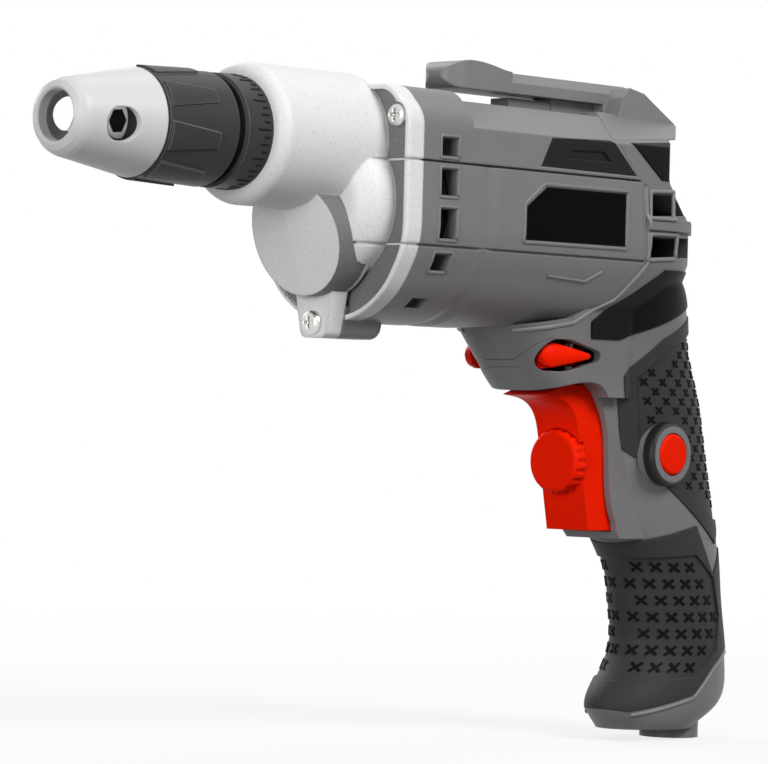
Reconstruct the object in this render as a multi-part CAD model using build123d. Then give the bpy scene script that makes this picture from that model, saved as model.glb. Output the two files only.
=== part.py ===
from build123d import *
import math
import os

# Corded drywall screwdriver with a depth-setting nose, built as the pieces it comes apart into.
# X runs backwards along the spindle axis from the mouth of the bit socket, so the nose points to -X.
# Y runs to the tool's right and Z up. All sizes are in millimetres.

# Clearances
RUN = 0.05  # running clearance on a radius
GAP = 0.3  # between pieces that pass each other

# Spindle, clutch and gears
BIT_FLATS = 6.35  # quarter inch hexagon
BIT_DEPTH = 18.0
SPINDLE_R = 6.0
SPINDLE_PUSH = 4.0  # travel that closes the clutch
CLIP_X = 6.0
CLIP_W = 1.4
CLIP_T = 0.7
WASHER_T = 1.5
CLUTCH_R = 12.5
CLUTCH_T = 5.0
DOG_H = 2.5
DOG_ANGLE = 50.0
DOG_COUNT = 3
DOG_INNER_R = 7.5
CLUTCH_GAP = 2.5  # between the two sets of dogs at rest
PILOT_R = 2.5
PILOT_DEPTH = 12.0
SPRING_SEAT = 2.0
SPRING_R = 4.6
SPRING_WIRE_R = 0.55
SPRING_TURNS = 4
GEAR_MODULE = 0.8
PINION_TEETH = 9
GEAR_TEETH = 36
TOOTH_SHIFT = 0.4  # the pinion's profile shift, taken off the gear
TOOTH_ADDENDUM = 0.8
TOOTH_DEDENDUM = 1.25
PRESSURE_ANGLE = 20.0
BACKLASH = 0.14
GEAR_W = 9.0
PINION_EXTRA = 1.0  # how much longer the pinion is at each end
JOURNAL_R = 4.0

# Gear housing
FACE_X = 46.0  # front face of the gear housing
CLUTCH_BACK = 15.0  # how far behind it the clutch flange lies
FLANGE_X = 88.5  # front of its rear flange
FLANGE_T = 6.6
FLANGE_RIM_W = 1.6
LEDGE_DEPTH = 1.6  # how far the screw ledge lies behind the rim
BARREL_R = 21.0
BARREL_WALL = 4.5
BARREL_ROUND = 4.0
NECK_R = 11.0
NECK_LENGTH = 28.0
NECK_LIP = 3.0
CASE_R = 24.5
CASE_X = 78.0
CASE_ROUND = 8.0
KEEL_R = 17.5
KEEL_Z = -28.8  # centre of the keel's round front outline
BUSH_R = 9.0
BUSH_WALL = 2.0
PLATE_R = 19.0
PLATE_T = 7.7
BEARING_R = 11.0
BEARING_W = 7.0
LUG_HALF_W = 5.0  # at its lower end
LUG_FLARE = 0.2  # widening upwards, to each side
LUG_ROUND = 2.5
LUG_Z = -54.0
LUG_R = 4.5
LUG_H = 18.0
LUG_X = 81.7
FOOT_X = 88.1  # where the lug ends on the foot of the motor barrel
FOOT_LENGTH = 20.5
FOOT_H = 9.5
FOOT_ROUND = 6.0
CORNER_SCREW_Y = 24.8
CORNER_SCREW_Z = 7.5
SCREW_R = 2.0
SCREW_HEAD_R = 3.6
SCREW_HEAD_H = 2.2
SCREW_BITE = 4.0  # how far each screw reaches into the barrel behind
CROSS_L = 3.8
CROSS_W = 0.9
CROSS_DEPTH = 1.6

# Nose
SLEEVE_WALL = 1.9
SLEEVE_END_T = 1.5
RING_REAR_R = 16.7
RING_FRONT_R = 15.7
RING_LENGTH = 28.0
RIB_COUNT = 8
RIB_H = 0.7
RIB_FRONT_HALF_W = 4.2
RIB_REAR_HALF_W = 2.2
RIB_TURN = 15.0
COLLAR_LENGTH = 10.5
RING_GAP = 2.6  # groove between ring and collar at the set depth
NOSE_LENGTH = 29.0
NOSE_TIP_R = 11.6
NOSE_WALL = 2.2
NOSE_HOLE_R = 7.3
NOSE_FRONT_T = 4.0
NOSE_SOCKET = 8.0  # how far the nose reaches over the sleeve
WINDOW_BACK = 14.5  # centre of each window behind the tip
WINDOW_R = 4.9
WINDOW_STRETCH = 0.8  # half the straight length of each window
NOSE_TURN = 9.0  # how far the windows lie turned about the axis

# Motor
MOTOR_BORE_R = 26.9
STATOR_BORE_R = 15.0
STATOR_X = 124.0
STATOR_LENGTH = 42.0
COIL_Y = 18.5
COIL_W = 9.0
COIL_H = 24.0
COIL_OVERHANG = 7.0
ROTOR_AIR_GAP = 0.6
ROTOR_SLOTS = 12
ROTOR_SLOT_W = 1.8
ROTOR_SLOT_DEPTH = 5.0
WINDING_LENGTH = 8.0
SHAFT_R = 4.0
FAN_X = 104.0
FAN_W = 10.0
FAN_R = 25.0
FAN_PLATE_T = 1.6
FAN_BLADES = 11
FAN_BLADE_T = 1.4
COMMUTATOR_X = 176.0
COMMUTATOR_LENGTH = 12.0
COMMUTATOR_R = 10.0
COMMUTATOR_BARS = 24
REAR_BEARING_X = 191.0
BRUSH_L = 12.0
BRUSH_W = 6.0
HOLDER_WALL = 1.2
HOLDER_SHIFT = 3.0  # how far the brush stands out of its holder
CARRIER_WALL = 2.0
CARRIER_X = 175.0

# Body: cross-section of the barrel about the motor axis
BODY_HALF_W = 30.5
BODY_SIDE_HALF_H = 12.5
BODY_UP = 35.0
BODY_DOWN = 35.5
BODY_TOP_HALF_W = 22.5
BODY_SHOULDER_H = 9.0
BODY_BOTTOM_HALF_W = 10.0
BODY_TOP_ROUND = 9.0
BODY_LOW_ROUND = 26.0
BARREL_END_X = 205.0
BODY_END_X = 236.0
BODY_STEP = 2.0  # how much lower the top lies behind the front shoulder
FACET_X = 117.0  # where the front shoulder turns into the chamfered top
FACET_TOP_HALF_W = 11.0
FACET_DROP = 11.5
VENT_X = 103.2
VENT_LENGTH = 7.0
VALLEY_X = 120.4  # shallow valley round the barrel behind the vents
VALLEY_LENGTH = 8.4
VALLEY_DEPTH = 0.9
GROOVE_W = 0.7
GROOVE_DEPTH = 1.8
CASE_GROOVE_DEPTH = 0.8
PANEL_T = 1.4
LABEL_T = 0.8

# Handle
HANDLE_WALL = 2.8
PAD_T = 1.5
PAD_PROUD = 0.5
FIELD_DEPTH = 0.8  # how far the field of a grip is sunk
REAR_BAR_PROUD = 1.2
HANDLE_BOSS_R = 4.0
HANDLE_SCREW_R = 1.7
HANDLE_HEAD_R = 3.2
HANDLE_HEAD_H = 2.2
HANDLE_SEAT_Y = 10.0
GLAND_X = 254.5
GLAND_R = 9.6
GLAND_WALL = 2.3
GLAND_TOP_Z = -168.0
GLAND_BOTTOM_Z = -183.5
CORD_BORE_R = 4.2
CLAMP_Y = -7.2
CLAMP_Z = -151.0
CLAMP_T = 4.5
CLAMP_H = 6.0
CLAMP_HALF_L = 9.0
CLAMP_SCREW_X = 6.8
CLAMP_SCREW_R = 1.4
CLAMP_SCREW_L = 8.0
CLAMP_POST_R = 3.0

# Hanging hook
HOOK_HALF_W = 7.5
HOOK_TIP_X = 132.0
HOOK_TOP_Z = 26.6
HOOK_CHAMFER = 3.2
HOOK_NECK_X = 160.0  # where the head ends and the chamfers start
HOOK_GAP = 5.0  # gap under the hook
HOOK_WEB_X = 183.0
HOOK_ROOT_X = 204.0
HOOK_STOP_LENGTH = 20.0
HOOK_STOP_H = 4.0
HOOK_HUMP_HALF_W = 14.0
HOOK_HUMP = [(203.0, 14.0), (206.5, 22.0), (209.5, 25.3), (216.5, 24.0), (232.0, 15.5), (233.0, 12.0)]
HOOK_ROOT_END_X = 233.0
HOOK_SLOPE_X = 218.0  # where the hook's top starts to fall towards the rear

# Controls
TRIGGER_TRAVEL = 6.0
TRIGGER_HALF_W = 8.6
TRIGGER_TOP_Z = -69.6
TRIGGER_BOTTOM_Z = -115.8
TRIGGER_TIP_X = 177.5
TRIGGER_TIP_Z = -73.2
TRIGGER_LIP = [(188.0, -75.2), (192.4, -78.8), (194.8, -85.0)]
TRIGGER_SEAT_X = 196.2
TRIGGER_FOOT_X = 200.6
FRAME_HALF_W = 11.2
GUARD_FLOOR_T = 7.0
TRIGGER_BACK_X = 209.0
TRIGGER_LEAN = 11.0  # how much further back its lower end lies
TRIGGER_LIP_ENDS = ((1.0, -0.15), (0.15, -1.0))  # directions of the lip's curve at its two ends
STEM_R = 3.5
STEM_Z = -92.0
SWITCH_X = 225.0
SWITCH_LENGTH = 22.0
SWITCH_HALF_W = 8.5
SWITCH_H = 36.0
SWITCH_Z = -88.0
DIAL_R = 10.2
DIAL_T = 5.0
DIAL_X = 192.4
DIAL_Z = -94.0
DIAL_FLUTES = 20
DIAL_FLUTE_R = 1.1
DIAL_PIN_R = 1.5
DIAL_PIN_L = 4.0
BUTTON_X = 228.0
BUTTON_Z = -91.0
BUTTON_R = 6.6
BUTTON_PROUD = 0.6
BUTTON_FLANGE = 1.4
BUTTON_FLANGE_T = 0.8
COLLAR_OUT_R = 10.2
COLLAR_FACE_Y = -20.4
COLLAR_ROUND = 1.8
LEVER_X = 200.0  # pin of the reversing lever
LEVER_Z = -60.8
LEVER_PIN_R = 2.0
LEVER_H = 6.0
LEVER_ARM_W = 7.0
LEVER_HALF_W = 20.5
LEVER_FRONT_HALF_W = 14.5  # where the slanted outer face of each tab starts
LEVER_TAB_X = 174.4
LEVER_TAB_R = 4.4
LEVER_TAB_LENGTH = 14.5
LEVER_TAIL_R = 1.2
LEVER_TAB_T = 7.0
LEVER_SWING = 20.0
LEVER_SLACK = 4.0  # how far the tabs shift along X as the lever swings

# Places that follow from the sizes above
MOTOR_Z = -GEAR_MODULE * (PINION_TEETH + GEAR_TEETH) / 2
BODY_X = FLANGE_X + FLANGE_T
PLATE_X = BODY_X - PLATE_T
LEDGE_X = FLANGE_X + LEDGE_DEPTH
CLUTCH_X = FACE_X + CLUTCH_BACK
CAVITY_X = CLUTCH_X - WASHER_T - 2 * RUN
DOG_X = CLUTCH_X + CLUTCH_T
GEAR_DOG_X = DOG_X + DOG_H + CLUTCH_GAP
GEAR_X = GEAR_DOG_X + DOG_H
GEAR_END_X = GEAR_X + GEAR_W
SLEEVE_R = NECK_R + GAP + SLEEVE_WALL
RING_X = FACE_X - COLLAR_LENGTH - RING_GAP - RING_LENGTH
NOSE_TIP_X = RING_X - NOSE_LENGTH
SLEEVE_X = RING_X - NOSE_SOCKET
ROTOR_R = STATOR_BORE_R - ROTOR_AIR_GAP
STATOR_END_X = STATOR_X + STATOR_LENGTH
CARRIER_END_X = REAR_BEARING_X + BEARING_W
BODY_TOP_Z = MOTOR_Z + BODY_UP
BACK_TOP_Z = BODY_TOP_Z - BODY_STEP
BODY_BOTTOM_Z = MOTOR_Z - BODY_DOWN

# Outlines in side view, as X and Z
SEAM = [  # where the one-piece motor housing meets the handle halves
    (198.0, 18.0), (184.0, 6.5), (196.5, -6.0), (200.0, -31.0),
    (192.0, -41.5), (178.0, -49.0), (155.0, -52.5), (131.0, -54.3),
]
PANEL = [(153.0, 5.0), (182.0, 6.2), (194.0, -4.2), (148.0, -4.0)]
PANEL_SLOT = [(162.5, 2.0), (178.0, 2.4), (181.5, -0.6), (160.0, -0.9)]
LABEL = [(151.0, -10.2), (189.0, -10.0), (189.0, -26.4), (142.0, -26.6), (142.0, -16.5)]
PALM_GRIP = [
    (300.0, -38.0), (246.0, -44.5), (238.5, -47.0), (221.5, -54.5), (207.5, -66.5), (213.0, -89.5),
    (222.0, -95.0), (232.0, -102.5), (258.6, -120.0), (263.0, -115.0), (300.0, -110.0),
]
FINGER_GRIP = [
    (190.0, -121.0), (218.0, -120.5), (245.5, -114.0), (256.0, -130.0), (264.5, -121.5), (300.0, -117.0),
    (300.0, -149.0), (264.0, -155.0), (256.0, -159.5), (245.5, -168.5), (222.0, -174.0), (190.0, -169.0),
]
TRIGGER_ARCH = [  # edge of the handle round the top and the back of the trigger
    (171.0, -72.9), (178.5, -70.6), (186.0, -69.2), (193.0, -69.0), (198.5, -70.8),
    (201.5, -74.4), (204.4, -79.2), (206.8, -91.3), (211.0, -112.7),
]
FRAME = [(193.0, -66.0), (232.0, -66.0), (232.0, -118.4), (213.6, -118.4), (211.4, -116.2), (193.0, -100.0)]
FLANK_PAD = [
    (212.0, -32.8), (246.0, -32.4), (246.0, -39.5), (218.0, -50.0),
    (202.0, -55.2), (188.5, -55.2), (187.0, -50.0),
]
REAR_PAD = [(191.5, 6.0), (300.0, 14.7), (300.0, -4.0), (206.5, -4.6)]
PALM_FIELD = [
    (213.5, -67.0), (226.0, -57.5), (252.0, -47.0), (290.0, -42.0), (290.0, -111.0), (259.0, -112.5),
    (219.0, -92.0),
]
FINGER_FIELD = [
    (214.0, -125.5), (246.0, -123.5), (256.5, -131.0), (260.5, -143.0), (258.0, -155.0), (247.0, -163.0),
    (214.0, -165.0),
]
REAR_VENTS = [
    [(201.8, -9.2), (222.5, -8.4), (228.5, -14.6), (202.0, -16.2)],
    [(202.4, -22.6), (228.2, -22.0), (227.5, -28.2), (201.9, -29.2)],
]
REAR_BAR = [(199.5, -16.8), (250.0, -16.8), (250.0, -20.5), (199.5, -20.5)]  # ledge between the rear vents
FRONT_VENTS = [(-1.0, 2.7), (-11.5, 3.9), (-23.8, 4.4), (-35.2, 2.4), (-47.2, 1.4)]  # middle height and half height
HANDLE_SCREWS = [(212.0, -57.5), (264.0, -162.0), (220.0, -18.0), (234.0, -173.5)]

# Rear end of the body
REAR_STEPS = [0.0, 0.25, 0.5, 0.7, 0.86, 1.0]  # sections as shares of its length
REAR_NARROWING = 0.38  # share of the width and of the height lost at the end
REAR_LOWERING = 0.16
REAR_CORNER = [(209.2, -30.5), (245.0, -1.8), (245.0, -45.0), (209.2, -45.0)]  # plan of what is cut off
REAR_CORNER_Z = -4.0
REAR_CORNER_LOW_Z = -17.5  # where the cut runs out below
REAR_CORNER_SHIFT = 11.0
REAR_CORNER_DROP = 12.5
REAR_LIP = 3.2  # how far the cap stands out over the pad below it
REAR_CAP_RISE = 0.08  # slope of the cap's lower edge
REAR_ROOM_R = 20.0
REAR_ROOM_X = 216.0
REAR_END_ROOM_R = 13.0
REAR_VENT_DEPTH = 22.5
REAR_SPLIT_Z = -33.0  # line under the rear vents, where the rear half ends
GRIP_SPLIT_Z = -118.4  # line under the trigger, where the lower grip starts

# Cross-sections of the grip and of the guard over the trigger: height, front, back and half width
GRIP_STATIONS = [
    (-20.0, 190.0, 231.0, 26.0),
    (-34.0, 190.0, 238.5, 24.8),
    (-46.0, 191.6, 246.6, 22.6),
    (-58.0, 195.0, 251.2, 19.2),
    (-73.0, 200.5, 258.5, 17.4),
    (-90.0, 206.5, 263.0, 16.8),
    (-118.0, 218.5, 269.5, 16.4),
    (-127.0, 225.0, 270.5, 16.2),
    (-140.0, 228.5, 271.8, 16.2),
    (-152.0, 229.8, 274.0, 16.4),
    (-161.0, 225.5, 275.5, 16.8),
    (-168.0, 220.0, 275.5, 17.0),
    (-174.0, 218.5, 270.5, 16.4),
    (-180.0, 223.0, 260.0, 13.5),
]
GUARD_STATIONS = [
    (-40.0, 134.0, 218.0, 21.0),
    (-53.0, 158.5, 218.0, 18.5),
    (-63.0, 166.0, 218.0, 16.6),
    (-73.5, 176.0, 218.0, 15.6),
]
BUTTON_STATION = GRIP_STATIONS[5]  # the cross-section that the lock button sits in
BUTTON_WALL_Y = HANDLE_WALL + GAP / 2 - BUTTON_STATION[3]
GRIP_FLOOR_Z = GRIP_STATIONS[-1][0] + HANDLE_WALL
GUARD_FLOOR_Z = GUARD_STATIONS[-1][0] + GUARD_FLOOR_T
WIDE = 100.0  # beyond every piece, for cutting blocks


def along_x(section, start, end):
    """A Y-Z section carried along X from start to end."""
    return Pos(start, 0, 0) * extrude(Plane.YZ * section, end - start)


def across_y(section, low, high):
    """An X-Z section carried across Y from low to high."""
    return Pos(0, low, 0) * extrude(Plane.XZ * section, high - low, dir=(0, 1, 0))


def disc(radius, start, end, z=0.0, y=0.0):
    """A round bar along X."""
    return along_x(Pos(y, z) * Circle(radius), start, end)


def tube(outer, inner, start, end, z=0.0):
    """A round tube along X."""
    return along_x(Pos(0, z) * (Circle(outer) - Circle(inner)), start, end)


def cross_bar(radius, x, z, low, high):
    """A round bar along Y."""
    return across_y(Pos(x, z) * Circle(radius), low, high)


def polygon(points):
    return make_face(Polyline(*points, close=True))


def side_prism(points, low, high):
    """A side-view outline carried across Y."""
    return across_y(polygon(points), low, high)


def turned(points):
    """A profile given as X and radius, turned about the spindle axis."""
    return revolve(Plane.XZ * polygon(points), axis=Axis.X)


def front_edges(part):
    return part.edges().group_by(Axis.X)[0]


def mirrored(part):
    """The same piece on the other side of the tool."""
    return mirror(part, about=Plane.XZ)


def coil_spring(radius, wire_r, turns, start, end, z):
    """A helical spring along X between two faces."""
    low = start + wire_r + RUN
    high = end - wire_r - RUN
    path = Helix(pitch=(high - low) / turns, height=high - low, radius=radius)
    section = Plane(origin=path @ 0, z_dir=path % 0) * Circle(wire_r)
    return Pos(low, 0, z) * Rot(0, 90, 0) * sweep(section, path=path)


def body_outline(inset=0.0):
    """Cross-section of the barrel: flat sides, a square-shouldered top and a narrow bottom."""
    side = BODY_HALF_W - inset
    right = [
        (BODY_TOP_HALF_W - inset / 2, BODY_TOP_Z - inset),
        (side, BODY_TOP_Z - BODY_SHOULDER_H - inset / 2),
        (side, MOTOR_Z - BODY_SIDE_HALF_H),
        (BODY_TOP_HALF_W - inset / 2, MOTOR_Z - 0.74 * BODY_DOWN + inset / 2),
        (BODY_BOTTOM_HALF_W, BODY_BOTTOM_Z + inset),
    ]
    left = [(-y, z) for y, z in reversed(right)]
    face = polygon([*right, *left])
    face = fillet(face.vertices().filter_by(lambda v: v.Y > MOTOR_Z), BODY_TOP_ROUND - inset)
    low = MOTOR_Z - BODY_SIDE_HALF_H + GAP
    return fillet(face.vertices().filter_by(lambda v: v.Y < low), BODY_LOW_ROUND - inset)


def facet_cut(start, end, inset=0.0):
    """The wedges that chamfer the two top edges of the body."""
    slope = FACET_DROP / (BODY_HALF_W - FACET_TOP_HALF_W)
    top = BODY_TOP_Z - inset
    over = 5.0
    corner = [
        (FACET_TOP_HALF_W - over / slope, top + over),
        (BODY_HALF_W + over, top - FACET_DROP - over * slope),
        (BODY_HALF_W + over, top + over),
    ]
    wedge = along_x(polygon(corner), start, end)
    return wedge + mirrored(wedge)


def barrel_block(start, end, inset=0.0):
    """The motor barrel as a solid, chamfered along the top behind the front shoulder."""
    full = along_x(body_outline(inset), start, end)
    over = Pos((FACET_X + end) / 2, 0, BACK_TOP_Z - inset + WIDE / 2) * Box(end - FACET_X, WIDE, WIDE)
    return full - facet_cut(FACET_X, end, inset) - over


def handle_region():
    """Everything behind and below the seam."""
    top = SEAM[0]
    bottom = SEAM[-1]
    corners = [(bottom[0], -3 * WIDE), (4 * WIDE, -3 * WIDE), (4 * WIDE, WIDE), (top[0], WIDE)]
    return side_prism([*SEAM, *corners], -WIDE, WIDE)


def hook_region():
    """The rear top of the body, which belongs to the hanging hook."""
    top, low = SEAM[:2]
    far = 4 * WIDE
    back = (far, low[1] + REAR_CAP_RISE * (far - low[0]))
    return side_prism([top, low, back, (far, WIDE), (top[0], WIDE)], -WIDE, WIDE)


def oval(half_l, half_w):
    return Ellipse(half_l, half_w)


def round_box(half_l, half_w):
    return RectangleRounded(2 * half_l, 2 * half_w, 0.72 * half_w)


def stacked(outline, stations, grow=0.0):
    """A smooth solid through horizontal sections of one kind."""
    sections = []
    for z, front, back, half_w in stations:
        section = outline((back - front) / 2 + grow, half_w + grow)
        sections.append(Pos((front + back) / 2, 0, z) * section)
    return loft(sections)


def grip_form(grow=0.0):
    return stacked(oval, GRIP_STATIONS, grow)


def guard_form(grow=0.0):
    return stacked(round_box, GUARD_STATIONS, grow)


def involute(angle):
    return math.tan(angle) - angle


def spur_outline(teeth, shift):
    """A spur gear's outline: involute flanks between the root and tip circles, thinned for backlash."""
    pitch_r = GEAR_MODULE * teeth / 2
    pressure = math.radians(PRESSURE_ANGLE)
    base_r = pitch_r * math.cos(pressure)
    tip_r = pitch_r + GEAR_MODULE * (TOOTH_ADDENDUM + shift)
    root_r = pitch_r - GEAR_MODULE * (TOOTH_DEDENDUM - shift)
    half_tooth = math.pi / (2 * teeth) + 2 * shift * math.tan(pressure) / teeth - BACKLASH / (2 * pitch_r)

    def half_angle(radius):
        """Half the angle that a tooth takes up at a radius."""
        return half_tooth + involute(pressure) - involute(math.acos(min(1.0, base_r / radius)))

    low_r = max(base_r, root_r)
    flank = [(root_r, half_angle(low_r))]
    for k in range(4):
        radius = low_r + (tip_r - low_r) * k / 3
        flank.append((radius, half_angle(radius)))
    points = []
    for tooth in range(teeth):
        middle = 2 * math.pi * tooth / teeth
        rise = [(radius, middle - half) for radius, half in flank]
        fall = [(radius, middle + half) for radius, half in reversed(flank)]
        points += [(radius * math.cos(angle), radius * math.sin(angle)) for radius, angle in rise + fall]
    return polygon(points)


def dogs(start, end, turn):
    """The ring of clutch dogs on a face."""
    reach = 2 * CLUTCH_R
    half = math.radians(DOG_ANGLE / 2)
    corner_y = reach * math.cos(half)
    corner_z = reach * math.sin(half)
    wedge = polygon([(0, 0), (corner_y, -corner_z), (corner_y, corner_z)])
    sectors = [Rot(0, 0, turn + 360 * k / DOG_COUNT) * wedge for k in range(DOG_COUNT)]
    return tube(CLUTCH_R, DOG_INNER_R, start, end) & along_x(Sketch() + sectors, start, end)


def make_spindle():
    """Bit holder, spindle and the driven half of the clutch in one turned piece."""
    shank = disc(SPINDLE_R, 0, CLUTCH_X)
    shank = chamfer(front_edges(shank), 0.8)
    spindle = shank + disc(CLUTCH_R, CLUTCH_X, DOG_X) + dogs(DOG_X, DOG_X + DOG_H, 0)
    spindle -= along_x(RegularPolygon(BIT_FLATS / 2, 6, major_radius=False), 0, BIT_DEPTH)
    spindle -= disc(PILOT_R + RUN, DOG_X - PILOT_DEPTH - SPINDLE_PUSH, DOG_X)
    spindle -= disc(DOG_INNER_R - 1, DOG_X - SPRING_SEAT, DOG_X)
    return spindle - tube(SPINDLE_R + 1, SPINDLE_R - CLIP_T, CLIP_X, CLIP_X + CLIP_W)


def make_bit_clip():
    """Spring ring in the bit holder's groove."""
    return tube(SPINDLE_R, SPINDLE_R - CLIP_T, CLIP_X, CLIP_X + CLIP_W)


def make_thrust_washer():
    """Washer between the spindle's clutch flange and the bush, which slides with the spindle."""
    return tube(CLUTCH_R - 1, SPINDLE_R + GAP, CAVITY_X + RUN, CLUTCH_X - RUN)


def make_drive_gear():
    """Spur gear with the driving dogs, a pilot pin in front and a journal behind."""
    rim = along_x(spur_outline(GEAR_TEETH, -TOOTH_SHIFT), GEAR_X, GEAR_END_X)
    pilot = disc(PILOT_R, DOG_X - PILOT_DEPTH + 1, GEAR_X)
    journal = disc(JOURNAL_R, GEAR_END_X, BODY_X - 1)
    return rim + pilot + journal + dogs(GEAR_DOG_X, GEAR_X, 180 / DOG_COUNT)


def make_clutch_spring():
    """Compression spring that holds the clutch open."""
    return coil_spring(SPRING_R, SPRING_WIRE_R, SPRING_TURNS, DOG_X - SPRING_SEAT, GEAR_X, 0)


def make_spindle_bush():
    return tube(BUSH_R, SPINDLE_R + RUN, FACE_X - NECK_LENGTH + NECK_LIP, CAVITY_X)


def make_gear_bush():
    return tube(JOURNAL_R + BUSH_WALL, JOURNAL_R + RUN, PLATE_X, BODY_X)


def plate_outline():
    """Two round ends, one about the spindle axis and one about the motor axis."""
    return Pos(0, MOTOR_Z / 2) * Rot(0, 0, 90) * SlotOverall(2 * PLATE_R - MOTOR_Z, 2 * PLATE_R)


def make_bearing_plate():
    """Plate that closes the gear case and seats the armature's front bearing."""
    plate = along_x(plate_outline(), PLATE_X, BODY_X)
    plate -= disc(JOURNAL_R + BUSH_WALL, PLATE_X, BODY_X)
    plate -= disc(BEARING_R, BODY_X - BEARING_W, BODY_X, MOTOR_Z)
    return plate - disc(SHAFT_R + 4 * GAP, PLATE_X, BODY_X, MOTOR_Z)


def make_bearing(x):
    """A ball bearing as one ring with a shield groove on each face."""
    ring = tube(BEARING_R, SHAFT_R + RUN, x, x + BEARING_W, MOTOR_Z)
    shield = 0.5
    groove = tube(BEARING_R - 2, SHAFT_R + 2, 0, shield, MOTOR_Z)
    return ring - Pos(x, 0, 0) * groove - Pos(x + BEARING_W - shield, 0, 0) * groove


def keel_block():
    """The pointed lower front of the gear case: flat faces that meet in a ridge, inside a round outline."""
    top = 4.0
    bottom = KEEL_Z - KEEL_R - 1
    ridge = [(62.0, top), (66.5, MOTOR_Z), (77.5, bottom), (FLANGE_X, bottom), (FLANGE_X, top)]
    edge = [(67.0, top), (70.0, MOTOR_Z), (78.5, bottom), (FLANGE_X, bottom), (FLANGE_X, top)]
    middle = Plane.XZ * polygon(ridge)
    outside = Pos(0, -KEEL_R, 0) * (Plane.XZ * polygon(edge))
    wedge = loft([outside, middle], ruled=True)
    return (wedge + mirrored(wedge)) & disc(KEEL_R, FACE_X, FLANGE_X, KEEL_Z)


def screw_seats():
    """X of the seat, Y and Z of the three screws through the gear housing."""
    corners = [(LEDGE_X, side * CORNER_SCREW_Y, CORNER_SCREW_Z) for side in (-1, 1)]
    return [*corners, (LUG_X, 0.0, LUG_Z)]


def lug_section(height):
    """Cross-section of the lug and of the foot behind it, which widen upwards."""
    low = LUG_Z - LUG_R
    top = LUG_HALF_W + LUG_FLARE * height
    face = polygon([(-LUG_HALF_W, low), (LUG_HALF_W, low), (top, low + height), (-top, low + height)])
    return fillet(face.vertices().group_by(Axis.Y)[0], LUG_ROUND)


def foot_block(end):
    """The foot under the front of the motor barrel, which takes the lower screw."""
    return along_x(lug_section(FOOT_H), FOOT_X, end)


def case_grooves():
    """Two fine grooves across the case, the ledge and the rim, in line with those of the motor barrel."""
    inner = disc(CASE_R - CASE_GROOVE_DEPTH, CASE_X + CASE_GROOVE_DEPTH, BODY_X, MOTOR_Z)
    inner = fillet(front_edges(inner), CASE_ROUND - CASE_GROOVE_DEPTH)
    inner += along_x(body_outline(CASE_GROOVE_DEPTH), LEDGE_X + CASE_GROOVE_DEPTH, BODY_X)
    length = BODY_X - CASE_X
    grooves = Part()
    for z in (MOTOR_Z + BODY_SIDE_HALF_H, MOTOR_Z - BODY_SIDE_HALF_H):
        slab = Pos(CASE_X + length / 2, 0, z) * Box(length, 2 * BODY_HALF_W, GROOVE_W)
        grooves += slab - inner - disc(BARREL_R, CASE_X, BODY_X) - keel_block()
    return grooves


def make_gear_housing():
    """Cast gear case: spindle barrel, neck, keel, domed case, flange and three screw seats."""
    barrel = disc(BARREL_R, FACE_X, LEDGE_X)
    barrel = fillet(front_edges(barrel), BARREL_ROUND)
    case = disc(CASE_R, CASE_X, LEDGE_X, MOTOR_Z)
    case = fillet(front_edges(case), CASE_ROUND)
    flange = along_x(body_outline(), FLANGE_X, BODY_X)
    flange = fillet(front_edges(flange), FLANGE_RIM_W / 2)
    flange -= along_x(body_outline(FLANGE_RIM_W), FLANGE_X, LEDGE_X)
    neck = disc(NECK_R, FACE_X - NECK_LENGTH, FACE_X)
    solid = flange + barrel + case + keel_block() + along_x(lug_section(LUG_H), LUG_X, FOOT_X) + neck
    solid -= case_grooves()
    solid -= foot_block(BODY_X)
    solid -= disc(BUSH_R, FACE_X - NECK_LENGTH + NECK_LIP, CAVITY_X)
    solid -= disc(SPINDLE_R + 1, FACE_X - NECK_LENGTH, CAVITY_X)
    solid -= disc(BARREL_R - BARREL_WALL, CAVITY_X, BODY_X)
    solid -= disc(2 * SHAFT_R, GEAR_X - 2 * PINION_EXTRA, BODY_X, MOTOR_Z)
    solid -= along_x(plate_outline(), PLATE_X, BODY_X)
    for seat, y, z in screw_seats():
        solid -= disc(SCREW_R + GAP, seat, BODY_X, z, y)
        solid -= disc(SCREW_HEAD_R + GAP, seat - 2 * SCREW_HEAD_H, seat, z, y)
    return solid


def make_gear_case_screws():
    """The three cross-head screws of the gear housing."""
    screws = Part()
    cross = Rectangle(CROSS_L, CROSS_W) + Rectangle(CROSS_W, CROSS_L)
    for seat, y, z in screw_seats():
        top = seat - SCREW_HEAD_H
        head = disc(SCREW_HEAD_R, top, seat, z, y)
        head = fillet(front_edges(head), 1.6)
        recess = along_x(Pos(y, z) * cross, top, top + CROSS_DEPTH)
        screws += head - recess + disc(SCREW_R, seat, BODY_X + SCREW_BITE, z, y)
    return screws


def make_depth_sleeve():
    """Sleeve that slides on the neck and carries the ring and the nose."""
    barrel = tube(SLEEVE_R, NECK_R + GAP, SLEEVE_X, RING_X + RING_LENGTH)
    return barrel + tube(SLEEVE_R, SPINDLE_R + SLEEVE_END_T, SLEEVE_X, SLEEVE_X + SLEEVE_END_T)


def ring_radius(x):
    """The depth ring's outside radius at a place along it."""
    return RING_FRONT_R + (RING_REAR_R - RING_FRONT_R) * (x - RING_X) / RING_LENGTH


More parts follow.
